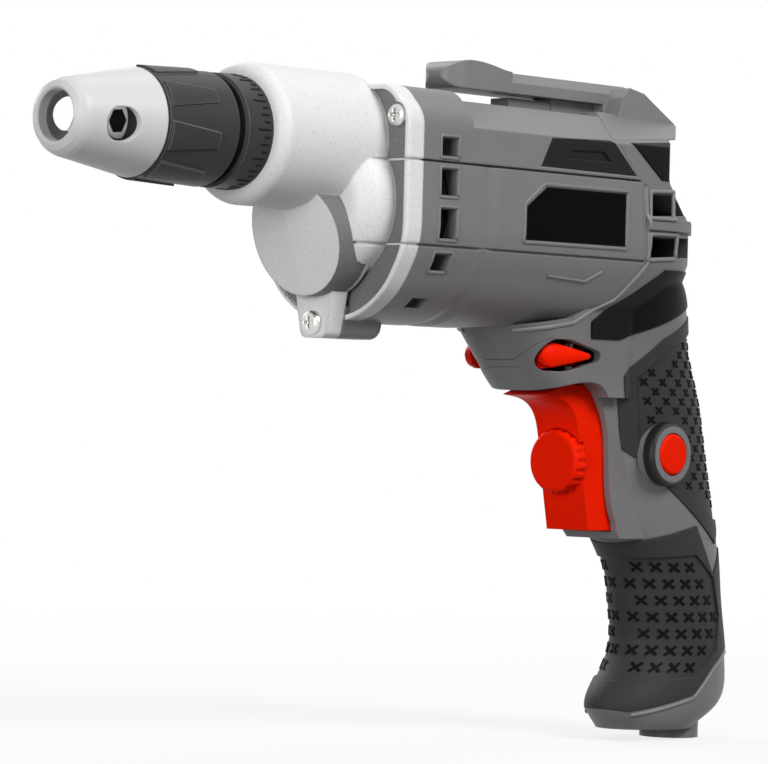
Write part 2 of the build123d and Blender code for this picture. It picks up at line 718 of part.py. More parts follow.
def make_depth_ring():
    """Tapered grip ring that turns to set the depth, with wedge-shaped lands round it."""
    front = RING_X + GAP
    back = RING_X + RING_LENGTH
    bore = SLEEVE_R + GAP
    bevel = 0.8
    ring = turned([
        (front, bore), (front, ring_radius(front) - bevel), (front + bevel, ring_radius(front)),
        (back - bevel, ring_radius(back)), (back, ring_radius(back) - bevel), (back, bore),
    ])
    land_front = front + 1.5
    land_back = back - 8.0
    skin = turned([
        (land_front, bore + 1), (land_front, ring_radius(land_front) + RIB_H),
        (land_back, ring_radius(land_back) + RIB_H), (land_back, bore + 1),
    ])
    wedge = polygon([
        (land_front, -RIB_FRONT_HALF_W), (land_back, -RIB_REAR_HALF_W),
        (land_back, RIB_REAR_HALF_W), (land_front, RIB_FRONT_HALF_W),
    ])
    land = extrude(wedge, RING_REAR_R + RIB_H) & skin
    for k in range(RIB_COUNT):
        ring += Rot(RIB_TURN + 360 * k / RIB_COUNT, 0, 0) * land
    return ring


def make_scale_collar():
    """Fixed collar behind the ring, on which the depth marks are printed."""
    start = FACE_X - COLLAR_LENGTH
    bevel = 0.8
    bore = SLEEVE_R + GAP
    outside = [(start, RING_REAR_R - bevel), (start + bevel, RING_REAR_R), (FACE_X, RING_REAR_R)]
    return turned([(start, bore), *outside, (FACE_X, bore)])


def make_nose_locator():
    """Hollow cone that rests on the board, with a window on each side and a round mouth."""
    tip = NOSE_TIP_X
    back = RING_X
    skirt = SLEEVE_R + GAP
    step = back - NOSE_SOCKET - GAP
    mouth = 0.6
    rim = [(tip, NOSE_TIP_R - 3.4), (tip + 0.9, NOSE_TIP_R - 1.7), (tip + 2.4, NOSE_TIP_R - 0.6)]
    shell = turned([
        (tip, NOSE_HOLE_R + mouth), *rim, (tip + NOSE_FRONT_T, NOSE_TIP_R), (back, RING_FRONT_R),
        (back, skirt), (step, skirt), (step, skirt - NOSE_WALL / 2),
        (tip + NOSE_FRONT_T, NOSE_TIP_R - NOSE_WALL), (tip + NOSE_FRONT_T, NOSE_HOLE_R),
        (tip + mouth, NOSE_HOLE_R),
    ])
    window = across_y(SlotCenterToCenter(2 * WINDOW_STRETCH, 2 * WINDOW_R), -WIDE, WIDE)
    return shell - Pos(tip + WINDOW_BACK, 0, 0) * Rot(NOSE_TURN, 0, 0) * window


def make_armature_shaft():
    """Motor shaft with the pinion cut on its front end, a tooth gap facing the gear."""
    turn = 90 + 180 / PINION_TEETH
    outline = Pos(0, MOTOR_Z) * Rot(0, 0, turn) * spur_outline(PINION_TEETH, TOOTH_SHIFT)
    pinion = along_x(outline, GEAR_X - PINION_EXTRA, GEAR_END_X + PINION_EXTRA)
    return pinion + disc(SHAFT_R, GEAR_END_X + PINION_EXTRA, CARRIER_END_X + 2, MOTOR_Z)


def round_the_shaft(part, count, turn=0.0):
    """Copies of a piece spaced evenly round the motor axis."""
    return Part() + [Pos(0, 0, MOTOR_Z) * Rot(turn + 360 * k / count, 0, 0) * part for k in range(count)]


def make_armature_core():
    """Slotted iron core of the armature."""
    core = tube(ROTOR_R, SHAFT_R, STATOR_X, STATOR_END_X, MOTOR_Z)
    slot = Pos(ROTOR_R - ROTOR_SLOT_DEPTH / 2, 0) * Rectangle(ROTOR_SLOT_DEPTH, ROTOR_SLOT_W)
    return core - round_the_shaft(along_x(slot, STATOR_X, STATOR_END_X), ROTOR_SLOTS)


def make_armature_windings():
    """The two end turns of the armature winding."""
    radius = ROTOR_R - 2
    front = tube(radius, SHAFT_R, STATOR_X - WINDING_LENGTH, STATOR_X, MOTOR_Z)
    return front + tube(radius, SHAFT_R, STATOR_END_X, STATOR_END_X + WINDING_LENGTH, MOTOR_Z)


def make_commutator():
    """Copper commutator with its bar slots."""
    end = COMMUTATOR_X + COMMUTATOR_LENGTH
    ring = tube(COMMUTATOR_R, SHAFT_R, COMMUTATOR_X, end, MOTOR_Z)
    slot = along_x(Pos(COMMUTATOR_R, 0) * Rectangle(1.6, 0.6), COMMUTATOR_X, end)
    return ring - round_the_shaft(slot, COMMUTATOR_BARS)


def make_cooling_fan():
    """Fan that blows out of the front vents."""
    end = FAN_X + FAN_W
    hub_r = 2 * SHAFT_R
    hub = tube(hub_r, SHAFT_R, FAN_X, end, MOTOR_Z)
    plate = tube(FAN_R, SHAFT_R, end - FAN_PLATE_T, end, MOTOR_Z)
    reach = FAN_R - hub_r + 1
    blade = along_x(Pos(FAN_R - reach / 2, 0) * Rectangle(reach, FAN_BLADE_T), FAN_X, end)
    return hub + plate + (round_the_shaft(blade, FAN_BLADES) & tube(FAN_R, hub_r, FAN_X, end, MOTOR_Z))


def coil_section(side):
    return Pos(side * COIL_Y, MOTOR_Z) * RectangleRounded(COIL_W, COIL_H, 3.0)


def make_stator_core():
    """Laminated field core with a coil pocket on each side."""
    core = tube(MOTOR_BORE_R, STATOR_BORE_R, STATOR_X, STATOR_END_X, MOTOR_Z)
    for side in (-1, 1):
        core -= along_x(coil_section(side), STATOR_X, STATOR_END_X)
    return core


def make_stator_coils():
    """The two field coils, one in each side pocket of the core."""
    coils = Part()
    for side in (-1, 1):
        coil = along_x(coil_section(side), STATOR_X - COIL_OVERHANG, STATOR_END_X + COIL_OVERHANG)
        coils += coil - disc(STATOR_BORE_R, FAN_X, COMMUTATOR_X, MOTOR_Z)
    return coils


def at_brush(side, out):
    """Places a piece beside the commutator, a distance out from its surface."""
    reach = COMMUTATOR_R + GAP + out
    return Pos(COMMUTATOR_X + COMMUTATOR_LENGTH / 2, side * reach, MOTOR_Z)


def make_carbon_brushes():
    brush = Box(BRUSH_W, BRUSH_L, BRUSH_W)
    return Part() + [at_brush(side, BRUSH_L / 2) * brush for side in (-1, 1)]


def holder_block():
    width = BRUSH_W + 2 * HOLDER_WALL
    box = Box(width, BRUSH_L, width)
    return Part() + [at_brush(side, BRUSH_L / 2 + HOLDER_SHIFT) * box for side in (-1, 1)]


def make_brush_holders():
    """Brass boxes that guide the brushes, closed behind them."""
    return holder_block() - make_carbon_brushes()


def make_brush_carrier():
    """Ring that holds the brushes and, on four arms, the cup for the rear bearing."""
    inner = MOTOR_BORE_R - CARRIER_WALL
    ring = tube(MOTOR_BORE_R, inner, CARRIER_X, CARRIER_END_X, MOTOR_Z)
    reach = inner - BEARING_R + 1
    arm = along_x(Pos(BEARING_R + reach / 2, 0) * Rectangle(reach, 4.0), REAR_BEARING_X, CARRIER_END_X)
    cup = disc(BEARING_R + CARRIER_WALL, REAR_BEARING_X, CARRIER_END_X, MOTOR_Z)
    solid = ring + round_the_shaft(arm, 4, 45) + cup
    return solid - disc(BEARING_R, REAR_BEARING_X, CARRIER_END_X, MOTOR_Z) - holder_block()


def panel_form():
    """Skin of the barrel inside the outline of the trim panel on the left side."""
    skin = barrel_block(BODY_X, BARREL_END_X) - barrel_block(BODY_X, BARREL_END_X, PANEL_T)
    return skin & side_prism(PANEL, -WIDE, 0)


def make_side_panel(form):
    """Dark trim panel high on the left side, with a shallow slot."""
    return form - side_prism(PANEL_SLOT, -WIDE, PANEL_T / 2 - BODY_HALF_W)


def make_label_plate():
    """Plain black name plate let into the left side."""
    return side_prism(LABEL, -BODY_HALF_W, LABEL_T - BODY_HALF_W)


def barrel_valley():
    """A shallow ring-shaped valley with sloping sides, below the upper side groove."""
    middle = VALLEY_X + VALLEY_LENGTH / 2
    full = Plane.YZ * body_outline()
    sunk = Pos(middle, 0, 0) * (Plane.YZ * body_outline(VALLEY_DEPTH))
    inner = loft([Pos(VALLEY_X, 0, 0) * full, sunk], ruled=True)
    inner += loft([sunk, Pos(VALLEY_X + VALLEY_LENGTH, 0, 0) * full], ruled=True)
    return along_x(body_outline(), VALLEY_X, VALLEY_X + VALLEY_LENGTH) - inner - above(MOTOR_Z + BODY_SIDE_HALF_H)


def make_motor_housing(trim_panel, label):
    """One-piece barrel round the motor, with exhaust slots, side grooves and recesses for the trim."""
    foot = foot_block(FOOT_X + FOOT_LENGTH)
    heel = foot.edges().group_by(Axis.X)[-1].sort_by(Axis.Z)[0]
    shell = barrel_block(BODY_X, BARREL_END_X) + fillet(heel, FOOT_ROUND) - handle_region() - barrel_valley()
    shell -= disc(MOTOR_BORE_R, BODY_X, BARREL_END_X, MOTOR_Z)
    for z, half in FRONT_VENTS:
        back = VENT_X + VENT_LENGTH
        outline = [(VENT_X, z - half), (back, z - half), (back, z + half), (VENT_X, z + half)]
        hole = side_prism(outline, -WIDE, -MOTOR_BORE_R / 2)
        shell -= hole + mirrored(hole)
    length = BARREL_END_X - BODY_X
    for z in (MOTOR_Z + BODY_SIDE_HALF_H, MOTOR_Z - BODY_SIDE_HALF_H):
        groove = Pos(BODY_X + length / 2, -BODY_HALF_W, z) * Box(length, 2 * GROOVE_DEPTH, GROOVE_W)
        shell -= groove + mirrored(groove)
    for piece in (trim_panel, label):
        shell -= piece + mirrored(piece)
    stop = Box(HOOK_STOP_LENGTH, HOOK_HALF_W, 2 * HOOK_STOP_H)
    shell += Pos(HOOK_WEB_X - HOOK_STOP_LENGTH / 2 - GAP, 0, BACK_TOP_Z) * stop
    for seat, y, z in screw_seats():
        shell -= disc(SCREW_R, seat, BODY_X + SCREW_BITE, z, y)
    return shell


def rear_block(grow=0.0, shift=0.0):
    """The rear end of the body behind the motor barrel, drawn in towards its flat back."""
    full = Pos(0, -MOTOR_Z) * body_outline(-grow)
    start = SEAM[1][0] - 1
    sections = []
    for step in REAR_STEPS:
        shares = (1 - REAR_NARROWING * step**5, 1 - REAR_LOWERING * step**4, 1)
        x = start + step * (BODY_END_X + grow - start)
        sections.append(Pos(x, 0, MOTOR_Z) * (Plane.YZ * scale(full, shares)))
    corner = polygon([(x + shift, y - grow) for x, y in REAR_CORNER])
    high = Pos(0, 0, REAR_CORNER_Z) * corner
    low = Pos(REAR_CORNER_SHIFT, 0, REAR_CORNER_LOW_Z) * corner
    wedge = loft([Pos(0, 0, -REAR_CORNER_DROP) * low, low, high, Pos(0, 0, WIDE) * high], ruled=True)
    return loft(sections) - facet_cut(start, BODY_END_X + 2, -grow) - wedge - mirrored(wedge)


def cord_stub(radius):
    """Round bar about the cord's way out of the grip."""
    height = GLAND_TOP_Z - GLAND_BOTTOM_Z
    return Pos(GLAND_X, 0, GLAND_BOTTOM_Z + height / 2) * Cylinder(radius, height)


def handle_form(grow=0.0):
    """Outer form of both handle halves together: rear body, grip and guard."""
    return rear_block(grow) + grip_form(grow) + guard_form(grow)


def above(z):
    """The half space over a height, as a block."""
    return Pos(2 * WIDE, 0, z + 2 * WIDE) * Box(6 * WIDE, 2 * WIDE, 4 * WIDE)


def motor_rooms():
    """The round space of the motor and the narrower ones behind it."""
    motor = disc(MOTOR_BORE_R, BODY_X, CARRIER_END_X + GAP, MOTOR_Z)
    behind = disc(REAR_ROOM_R, CARRIER_END_X, REAR_ROOM_X, MOTOR_Z)
    return motor + behind + disc(REAR_END_ROOM_R, REAR_ROOM_X, BODY_END_X - 2 * HANDLE_WALL, MOTOR_Z)


def handle_hollow():
    """The space inside the handle halves."""
    grip = grip_form(-HANDLE_WALL) & above(GRIP_FLOOR_Z)
    guard = guard_form(-HANDLE_WALL) & above(GUARD_FLOOR_Z)
    return grip + guard + motor_rooms()


def button_bar(radius, low, high):
    """Round bar about the lock button's axis."""
    return cross_bar(radius, BUTTON_X, BUTTON_Z, low, high)


def make_lock_button():
    """Round button that latches the trigger, kept in by a flange inside the wall."""
    inner = BUTTON_WALL_Y + RUN
    button = button_bar(BUTTON_R, COLLAR_FACE_Y - BUTTON_PROUD, inner)
    button = fillet(button.edges().group_by(Axis.Y)[0], 1.0)
    return button + button_bar(BUTTON_R + BUTTON_FLANGE, inner, inner + BUTTON_FLANGE_T)


def teardrop(grow, slack, low, high):
    """Side outline of the reversing lever's tabs: a large round end in front and a small one behind."""
    end = LEVER_TAB_X + LEVER_TAB_LENGTH + slack
    starts = [LEVER_TAB_X - slack, LEVER_TAB_X + slack] if slack else [LEVER_TAB_X]
    rounds = [Pos(x, LEVER_Z) * Circle(LEVER_TAB_R + grow) for x in starts]
    rounds.append(Pos(end, LEVER_Z) * Circle(LEVER_TAIL_R + grow))
    return across_y(make_hull([edge for ring in rounds for edge in ring.edges()]), low, high)


def make_reverse_lever():
    """Rocker with a tab on each side of the guard, swung on a pin behind them, set to the right."""
    front = LEVER_TAB_X - LEVER_TAB_R
    outside = -LEVER_HALF_W - 1
    rear = front + LEVER_TAB_LENGTH + LEVER_TAB_R
    slant = polygon([(front, outside), (rear, outside), (front, -LEVER_FRONT_HALF_W)])
    tab = teardrop(0, 0, -LEVER_HALF_W, LEVER_TAB_T - LEVER_HALF_W)
    tab -= Pos(0, 0, LEVER_Z) * extrude(slant, LEVER_H, both=True)
    bar_x = LEVER_TAB_X + LEVER_TAB_R
    bar = Pos(bar_x, 0, LEVER_Z) * Box(LEVER_H, 2 * (LEVER_HALF_W - 1), LEVER_H)
    arm = Pos((bar_x + LEVER_X) / 2, 0, LEVER_Z) * Box(LEVER_X - bar_x, LEVER_ARM_W, LEVER_H)
    eye = Pos(LEVER_X, 0, LEVER_Z) * Cylinder(LEVER_ARM_W / 2 + 1, LEVER_H)
    lever = tab + mirrored(tab) + bar + arm + eye
    lever -= Pos(LEVER_X, 0, LEVER_Z) * Cylinder(LEVER_PIN_R + RUN, 2 * LEVER_H)
    return Pos(LEVER_X, 0, 0) * Rot(0, 0, -LEVER_SWING / 2) * Pos(-LEVER_X, 0, 0) * lever


def make_lever_pin():
    """Upright pin that the reversing lever swings on."""
    top = LEVER_Z + LEVER_H + 2 * GAP
    return Pos(LEVER_X, 0, (top + GUARD_FLOOR_Z) / 2) * Cylinder(LEVER_PIN_R, top - GUARD_FLOOR_Z)


def lever_bridge():
    """Cross rib that holds the top of the lever's pin."""
    return Pos(LEVER_X, 0, LEVER_Z + LEVER_H - GAP) * Box(9.0, 2 * WIDE, LEVER_H / 2)


def trigger_opening():
    """What is left open across the whole handle in front of the trigger and over it."""
    bottom = TRIGGER_BOTTOM_Z - GAP
    front = TRIGGER_ARCH[0]
    heel = (TRIGGER_ARCH[-1][0] + 2 * GAP, bottom)
    rest = Polyline(TRIGGER_ARCH[-1], heel, (BODY_X, bottom), (BODY_X, front[1]), front)
    return across_y(make_face([Spline(*TRIGGER_ARCH), *rest.edges()]), -WIDE, WIDE)


def trigger_room():
    """Room for the trigger and its travel in the front of the handle."""
    half = TRIGGER_HALF_W + GAP
    top = TRIGGER_TOP_Z + GAP
    bottom = TRIGGER_BOTTOM_Z - GAP
    back = TRIGGER_BACK_X + TRIGGER_TRAVEL + GAP
    heel = back + TRIGGER_LEAN + GAP
    brow = (TRIGGER_TIP_X - 2, TRIGGER_TIP_Z + 2 * GAP)
    outline = [brow, (TRIGGER_TIP_X + 8, top), (back, top), (heel, bottom), (brow[0], bottom)]
    return side_prism(outline, -half, half)


def make_trigger():
    """Trigger with a hollow for the finger and a round seat for the speed dial."""
    tip = (TRIGGER_TIP_X, TRIGGER_TIP_Z)
    seat = (TRIGGER_SEAT_X, DIAL_Z)
    heel = (TRIGGER_BACK_X + TRIGGER_LEAN, TRIGGER_BOTTOM_Z)
    brow = (TRIGGER_TIP_X + 10, TRIGGER_TOP_Z)
    lip = Spline(tip, *TRIGGER_LIP, seat, tangents=TRIGGER_LIP_ENDS)
    rest = Polyline(seat, (TRIGGER_FOOT_X, TRIGGER_BOTTOM_Z), heel, (TRIGGER_BACK_X, TRIGGER_TOP_Z), brow, tip)
    solid = across_y(make_face([lip, *rest.edges()]), -TRIGGER_HALF_W, TRIGGER_HALF_W)
    dial_back = DIAL_X + DIAL_T + GAP
    solid -= disc(DIAL_R + GAP, BODY_X, dial_back, DIAL_Z)
    return solid - disc(DIAL_PIN_R + RUN, dial_back, dial_back + DIAL_PIN_L, DIAL_Z)


def make_speed_dial():
    """Knurled wheel on the front of the trigger that limits its travel, on a short pin."""
    back = DIAL_X + DIAL_T
    wheel = disc(DIAL_R, DIAL_X, back, DIAL_Z)
    wheel = fillet(front_edges(wheel), 1.8)
    flute = disc(DIAL_FLUTE_R, DIAL_X, back, 0, DIAL_R + DIAL_FLUTE_R / 2)
    for k in range(DIAL_FLUTES):
        wheel -= Pos(0, 0, DIAL_Z) * Rot(360 * k / DIAL_FLUTES, 0, 0) * flute
    return wheel + disc(DIAL_PIN_R, back, back + DIAL_PIN_L, DIAL_Z)


def make_trigger_stem(body):
    """Round stem from the trigger into the switch."""
    return disc(STEM_R, TRIGGER_BACK_X + 3, SWITCH_X - 1, STEM_Z) - body


def make_trigger_spring():
    """Return spring round the stem."""
    return coil_spring(STEM_R + 1.5, 0.5, 3, TRIGGER_BACK_X + 6.5, SWITCH_X, STEM_Z)


def make_switch_body():
    """Trigger switch with the bore for the stem."""
    box = Pos(SWITCH_X + SWITCH_LENGTH / 2, 0, SWITCH_Z) * Box(SWITCH_LENGTH, 2 * SWITCH_HALF_W, SWITCH_H)
    return box - disc(STEM_R + GAP, SWITCH_X, SWITCH_X + TRIGGER_TRAVEL, STEM_Z)


def make_hang_hook():
    """Rear top cap that runs forward into an open hanging hook, on a web along the housing."""
    under = BACK_TOP_Z + HOOK_GAP
    tip = HOOK_TIP_X
    top = HOOK_TOP_Z
    neck = (HOOK_NECK_X, top)
    chin = (tip + 7, under)
    head = Spline(
        neck, (tip + 20, top + 1.2), (tip + 11, top + 2.2), (tip + 4, top + 1.2),
        (tip + 0.2, top - 2.3), (tip + 2, under + 0.9), chin, tangents=((-1, 0.05), (1, 0)),
    )
    rest = Polyline(
        chin, (HOOK_ROOT_X, under), (HOOK_ROOT_X, BODY_TOP_Z - 6), (HOOK_ROOT_END_X, BODY_TOP_Z - 6),
        (HOOK_ROOT_END_X, BODY_TOP_Z), (HOOK_SLOPE_X, top), neck,
    )
    plan = RectangleRounded(BODY_END_X - tip, 2 * HOOK_HALF_W, HOOK_HALF_W - GAP)
    column = Pos((tip + BODY_END_X) / 2, 0, under) * extrude(plan, WIDE, both=True)
    bar = across_y(make_face([head, *rest.edges()]), -HOOK_HALF_W, HOOK_HALF_W) & column
    slope = [
        (-HOOK_HALF_W - 1, top - HOOK_CHAMFER - 1), (-HOOK_HALF_W - 1, top + 1),
        (HOOK_CHAMFER + 1 - HOOK_HALF_W, top + 1),
    ]
    edge = along_x(polygon(slope), HOOK_NECK_X, BODY_END_X)
    bar -= edge + mirrored(edge)
    web_top = under + 1
    web_side = [
        (HOOK_WEB_X, BACK_TOP_Z), (HOOK_ROOT_X, BACK_TOP_Z), (HOOK_ROOT_X, web_top), (HOOK_WEB_X, web_top),
    ]
    web = side_prism(web_side, -HOOK_HALF_W / 2, HOOK_HALF_W / 2) - barrel_block(BODY_X, BARREL_END_X)
    hump = side_prism(HOOK_HUMP, -HOOK_HUMP_HALF_W, HOOK_HUMP_HALF_W)
    return (rear_block(shift=REAR_LIP) & hook_region()) + bar + web + hump - motor_rooms()


def make_cord_gland():
    """Soft bush that lines the cord's way out."""
    return cord_stub(CORD_BORE_R + GLAND_WALL) - cord_stub(CORD_BORE_R)


def clamp_screw_places():
    return [GLAND_X - CLAMP_SCREW_X, GLAND_X + CLAMP_SCREW_X]


def make_cord_clamp():
    """Bar that presses the cord against the right half."""
    bar = Pos(GLAND_X, CLAMP_Y, CLAMP_Z) * Box(2 * CLAMP_HALF_L, CLAMP_T, CLAMP_H)
    for x in clamp_screw_places():
        bar -= cross_bar(CLAMP_SCREW_R, x, CLAMP_Z, CLAMP_Y - CLAMP_T, CLAMP_Y + CLAMP_T)
    return bar


def clamp_posts():
    """Posts in the left half that take the clamp's screws."""
    end = CLAMP_Y - CLAMP_T / 2
    return Part() + [cross_bar(CLAMP_POST_R, x, CLAMP_Z, -WIDE, end) for x in clamp_screw_places()]


def make_clamp_screws():
    screws = Part()
    seat = CLAMP_Y + CLAMP_T / 2
    for x in clamp_screw_places():
        screws += cross_bar(CLAMP_SCREW_R, x, CLAMP_Z, seat - CLAMP_SCREW_L, seat)
        screws += cross_bar(2 * CLAMP_SCREW_R, x, CLAMP_Z, seat, seat + CLAMP_SCREW_R)
    return screws


def handle_bars(radius, low, high):
    """Round bars on the axes of the handle screws."""
    return Part() + [cross_bar(radius, x, z, low, high) for x, z in HANDLE_SCREWS]


def make_handle_screws():
    """Screws from the right half into the left one."""
    heads = handle_bars(HANDLE_HEAD_R, HANDLE_SEAT_Y, HANDLE_SEAT_Y + HANDLE_HEAD_H)
    return heads + handle_bars(HANDLE_SCREW_R, -HANDLE_SEAT_Y, HANDLE_SEAT_Y)


def soft_pad(outline, skin):
    """The left-hand pad inside a side-view outline, cut from a skin that follows the handle."""
    return (skin & side_prism(outline, -WIDE, 0)) - button_bar(COLLAR_OUT_R, -WIDE, 0)


def grip_field(outline, skin):
    """What is cut out of a left-hand pad to sink its field."""
    return skin & side_prism(outline, -WIDE, 0)


def make_handle_shell(pads):
    """Both handle halves in one, hollow, with bosses, windows and recesses for the pads."""
    form = handle_form() + cord_stub(GLAND_R) + side_prism(FRAME, -FRAME_HALF_W, FRAME_HALF_W)
    ribs = handle_bars(HANDLE_BOSS_R, -WIDE, WIDE) + lever_bridge() + clamp_posts() + cord_stub(GLAND_R)
    collar = button_bar(COLLAR_OUT_R, COLLAR_FACE_Y, BUTTON_WALL_Y)
    collar = fillet(collar.edges().group_by(Axis.Y)[0], COLLAR_ROUND)
    shell = form - handle_hollow() + (ribs & form) + collar
    shell = (shell & handle_region()) - hook_region()
    shell -= trigger_opening() + trigger_room()
    shell -= teardrop(2 * GAP, LEVER_SLACK, -WIDE, WIDE)
    shell -= make_lever_pin()
    shell -= button_bar(BUTTON_R + GAP, -WIDE, BUTTON_WALL_Y)
    shell -= button_bar(BUTTON_R + BUTTON_FLANGE + GAP, BUTTON_WALL_Y, 0)
    shell -= cord_stub(CORD_BORE_R + GLAND_WALL)
    shell -= make_clamp_screws()
    for outline in REAR_VENTS:
        vent = side_prism(outline, -WIDE, REAR_VENT_DEPTH - BODY_HALF_W)
        shell -= vent + mirrored(vent)
    shell += (rear_block(REAR_BAR_PROUD) & side_prism(REAR_BAR, -WIDE, WIDE)) - motor_rooms() - handle_hollow()
    for pad in pads:
        shell -= pad + mirrored(pad)
    shell -= handle_bars(HANDLE_SCREW_R, -HANDLE_SEAT_Y, HANDLE_SEAT_Y)
    return shell - handle_bars(HANDLE_HEAD_R + GAP, HANDLE_SEAT_Y, WIDE)


def one_side(shell, side):
    """The part of the shell on one side of the parting plane."""
    return shell & Pos(2 * WIDE, side * WIDE, -WIDE) * Box(6 * WIDE, 2 * WIDE, 6 * WIDE)


def export(name, part):
    export_step(part, f"parts/{name}.step")


def export_pair(name, left):
    """A left-hand piece and its mirror image."""
    export(f"{name}_left", left)
    export(f"{name}_right", mirrored(left))


os.makedirs("parts", exist_ok=True)

export("spindle", make_spindle())
export("bit_clip", make_bit_clip())
export("thrust_washer", make_thrust_washer())
export("drive_gear", make_drive_gear())
export("clutch_spring", make_clutch_spring())
export("spindle_bush", make_spindle_bush())
export("gear_bush", make_gear_bush())
export("gear_housing", make_gear_housing())
export("bearing_plate", make_bearing_plate())
export("gear_case_screws", make_gear_case_screws())

export("depth_sleeve", make_depth_sleeve())
export("depth_ring", make_depth_ring())
export("scale_collar", make_scale_collar())
export("nose_locator", make_nose_locator())

export("armature_shaft", make_armature_shaft())
export("armature_core", make_armature_core())
export("armature_windings", make_armature_windings())
export("commutator", make_commutator())
export("cooling_fan", make_cooling_fan())
export("front_bearing", make_bearing(BODY_X - BEARING_W))
export("rear_bearing", make_bearing(REAR_BEARING_X))
export("stator_core", make_stator_core())
export("stator_coils", make_stator_coils())
export("brush_carrier", make_brush_carrier())
export("brush_holders", make_brush_holders())
export("carbon_brushes", make_carbon_brushes())

panel = panel_form()
label_plate = make_label_plate()
export("motor_housing", make_motor_housing(panel, label_plate))
export_pair("side_panel", make_side_panel(panel))
export_pair("label_plate", label_plate)

pad_skin = handle_form(PAD_PROUD) - handle_form(PAD_PROUD - PAD_T)
soft_pads = {
    "palm_grip": soft_pad(PALM_GRIP, pad_skin),
    "finger_grip": soft_pad(FINGER_GRIP, pad_skin),
    "flank_pad": soft_pad(FLANK_PAD, pad_skin),
    "rear_pad": soft_pad(REAR_PAD, pad_skin),
}
field_skin = handle_form(PAD_PROUD) - handle_form(PAD_PROUD - FIELD_DEPTH)
export_pair("palm_grip", soft_pads["palm_grip"] - grip_field(PALM_FIELD, field_skin))
export_pair("finger_grip", soft_pads["finger_grip"] - grip_field(FINGER_FIELD, field_skin))
export_pair("flank_pad", soft_pads["flank_pad"])
export_pair("rear_pad", soft_pads["rear_pad"])
handle_shell = make_handle_shell(soft_pads.values())
for side_name, side in (("left", -1), ("right", 1)):
    half_shell = one_side(handle_shell, side)
    export(f"rear_half_{side_name}", half_shell & above(REAR_SPLIT_Z))
    export(f"handle_{side_name}", (half_shell & above(GRIP_SPLIT_Z)) - above(REAR_SPLIT_Z))
    export(f"lower_grip_{side_name}", half_shell - above(GRIP_SPLIT_Z))
export("handle_screws", make_handle_screws())
export("hang_hook", make_hang_hook())
export("cord_gland", make_cord_gland())
export("cord_clamp", make_cord_clamp())
export("clamp_screws", make_clamp_screws())

trigger = make_trigger()
export("trigger", trigger)
export("trigger_stem", make_trigger_stem(trigger))
export("trigger_spring", make_trigger_spring())
export("speed_dial", make_speed_dial())
export("switch_body", make_switch_body())
export("lock_button", make_lock_button())
export("reverse_lever", make_reverse_lever())
export("lever_pin", make_lever_pin())
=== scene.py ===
import bpy
import math
import numpy as np
from mathutils import Matrix


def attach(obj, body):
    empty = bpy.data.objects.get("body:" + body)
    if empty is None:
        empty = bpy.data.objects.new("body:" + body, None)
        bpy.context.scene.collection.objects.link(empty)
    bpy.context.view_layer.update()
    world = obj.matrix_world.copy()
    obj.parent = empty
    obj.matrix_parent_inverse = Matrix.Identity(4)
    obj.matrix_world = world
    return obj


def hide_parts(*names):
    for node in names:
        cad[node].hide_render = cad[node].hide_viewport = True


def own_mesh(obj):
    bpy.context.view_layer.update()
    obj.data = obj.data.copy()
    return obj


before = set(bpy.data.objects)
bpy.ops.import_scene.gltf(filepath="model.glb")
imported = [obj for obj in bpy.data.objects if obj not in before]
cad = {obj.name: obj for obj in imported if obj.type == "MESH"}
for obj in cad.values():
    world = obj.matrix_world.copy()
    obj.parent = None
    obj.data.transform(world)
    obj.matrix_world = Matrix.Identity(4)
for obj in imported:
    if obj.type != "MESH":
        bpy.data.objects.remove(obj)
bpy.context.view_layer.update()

# Studio: a white room with a pale floor at the height of the tool's foot, lit by soft square lamps
# on the left, before the nose, on the right and above. The camera stands at the nose's left, far
# away, a little below the spindle.

VIEW_TURN = math.radians(-47.0)
VIEW_RISE = math.radians(-0.6)
VIEW_ROLL = math.radians(1.5)
FOCAL_PIXELS = 4000.0
PICTURE_WIDTH = 768.0
EYE = (-0.77288, -0.82624, -0.08361)
FLOOR_Z = -0.1837
FLOOR_REACH = 12.0
ROOM_LOW, ROOM_HIGH = 0.03, 0.28

back = np.array([
    math.sin(VIEW_TURN) * math.cos(VIEW_RISE), -math.cos(VIEW_TURN) * math.cos(VIEW_RISE), math.sin(VIEW_RISE),
])
level = np.array([math.cos(VIEW_TURN), math.sin(VIEW_TURN), 0.0])
upright = np.cross(back, level)
right = math.cos(VIEW_ROLL) * level + math.sin(VIEW_ROLL) * upright
up = -math.sin(VIEW_ROLL) * level + math.cos(VIEW_ROLL) * upright
stand = np.eye(4)
stand[:3, :4] = np.stack([right, up, back, EYE], axis=1)
eye = bpy.data.cameras.new("camera")
eye.sensor_width = 36.0
eye.lens = eye.sensor_width * FOCAL_PIXELS / PICTURE_WIDTH
camera = bpy.data.objects.new("camera", eye)
camera.matrix_world = Matrix(stand.tolist())
bpy.context.scene.collection.objects.link(camera)
bpy.context.scene.camera = camera
bpy.context.scene.view_settings.view_transform = "Standard"


def lamp(name, place, aim, size, power):
    """A square soft lamp that stands at a place and points at another."""
    data = bpy.data.lights.new(name, "AREA")
    data.size = size
    data.energy = power
    holder = bpy.data.objects.new(name, data)
    z = np.subtract(place, aim)
    z = z / np.linalg.norm(z)
    x = np.cross((0.0, 0.0, 1.0), z)
    x = x / np.linalg.norm(x)
    pose = np.eye(4)
    pose[:3, :4] = np.stack([x, np.cross(z, x), z, place], axis=1)
    holder.matrix_world = Matrix(pose.tolist())
    bpy.context.scene.collection.objects.link(holder)


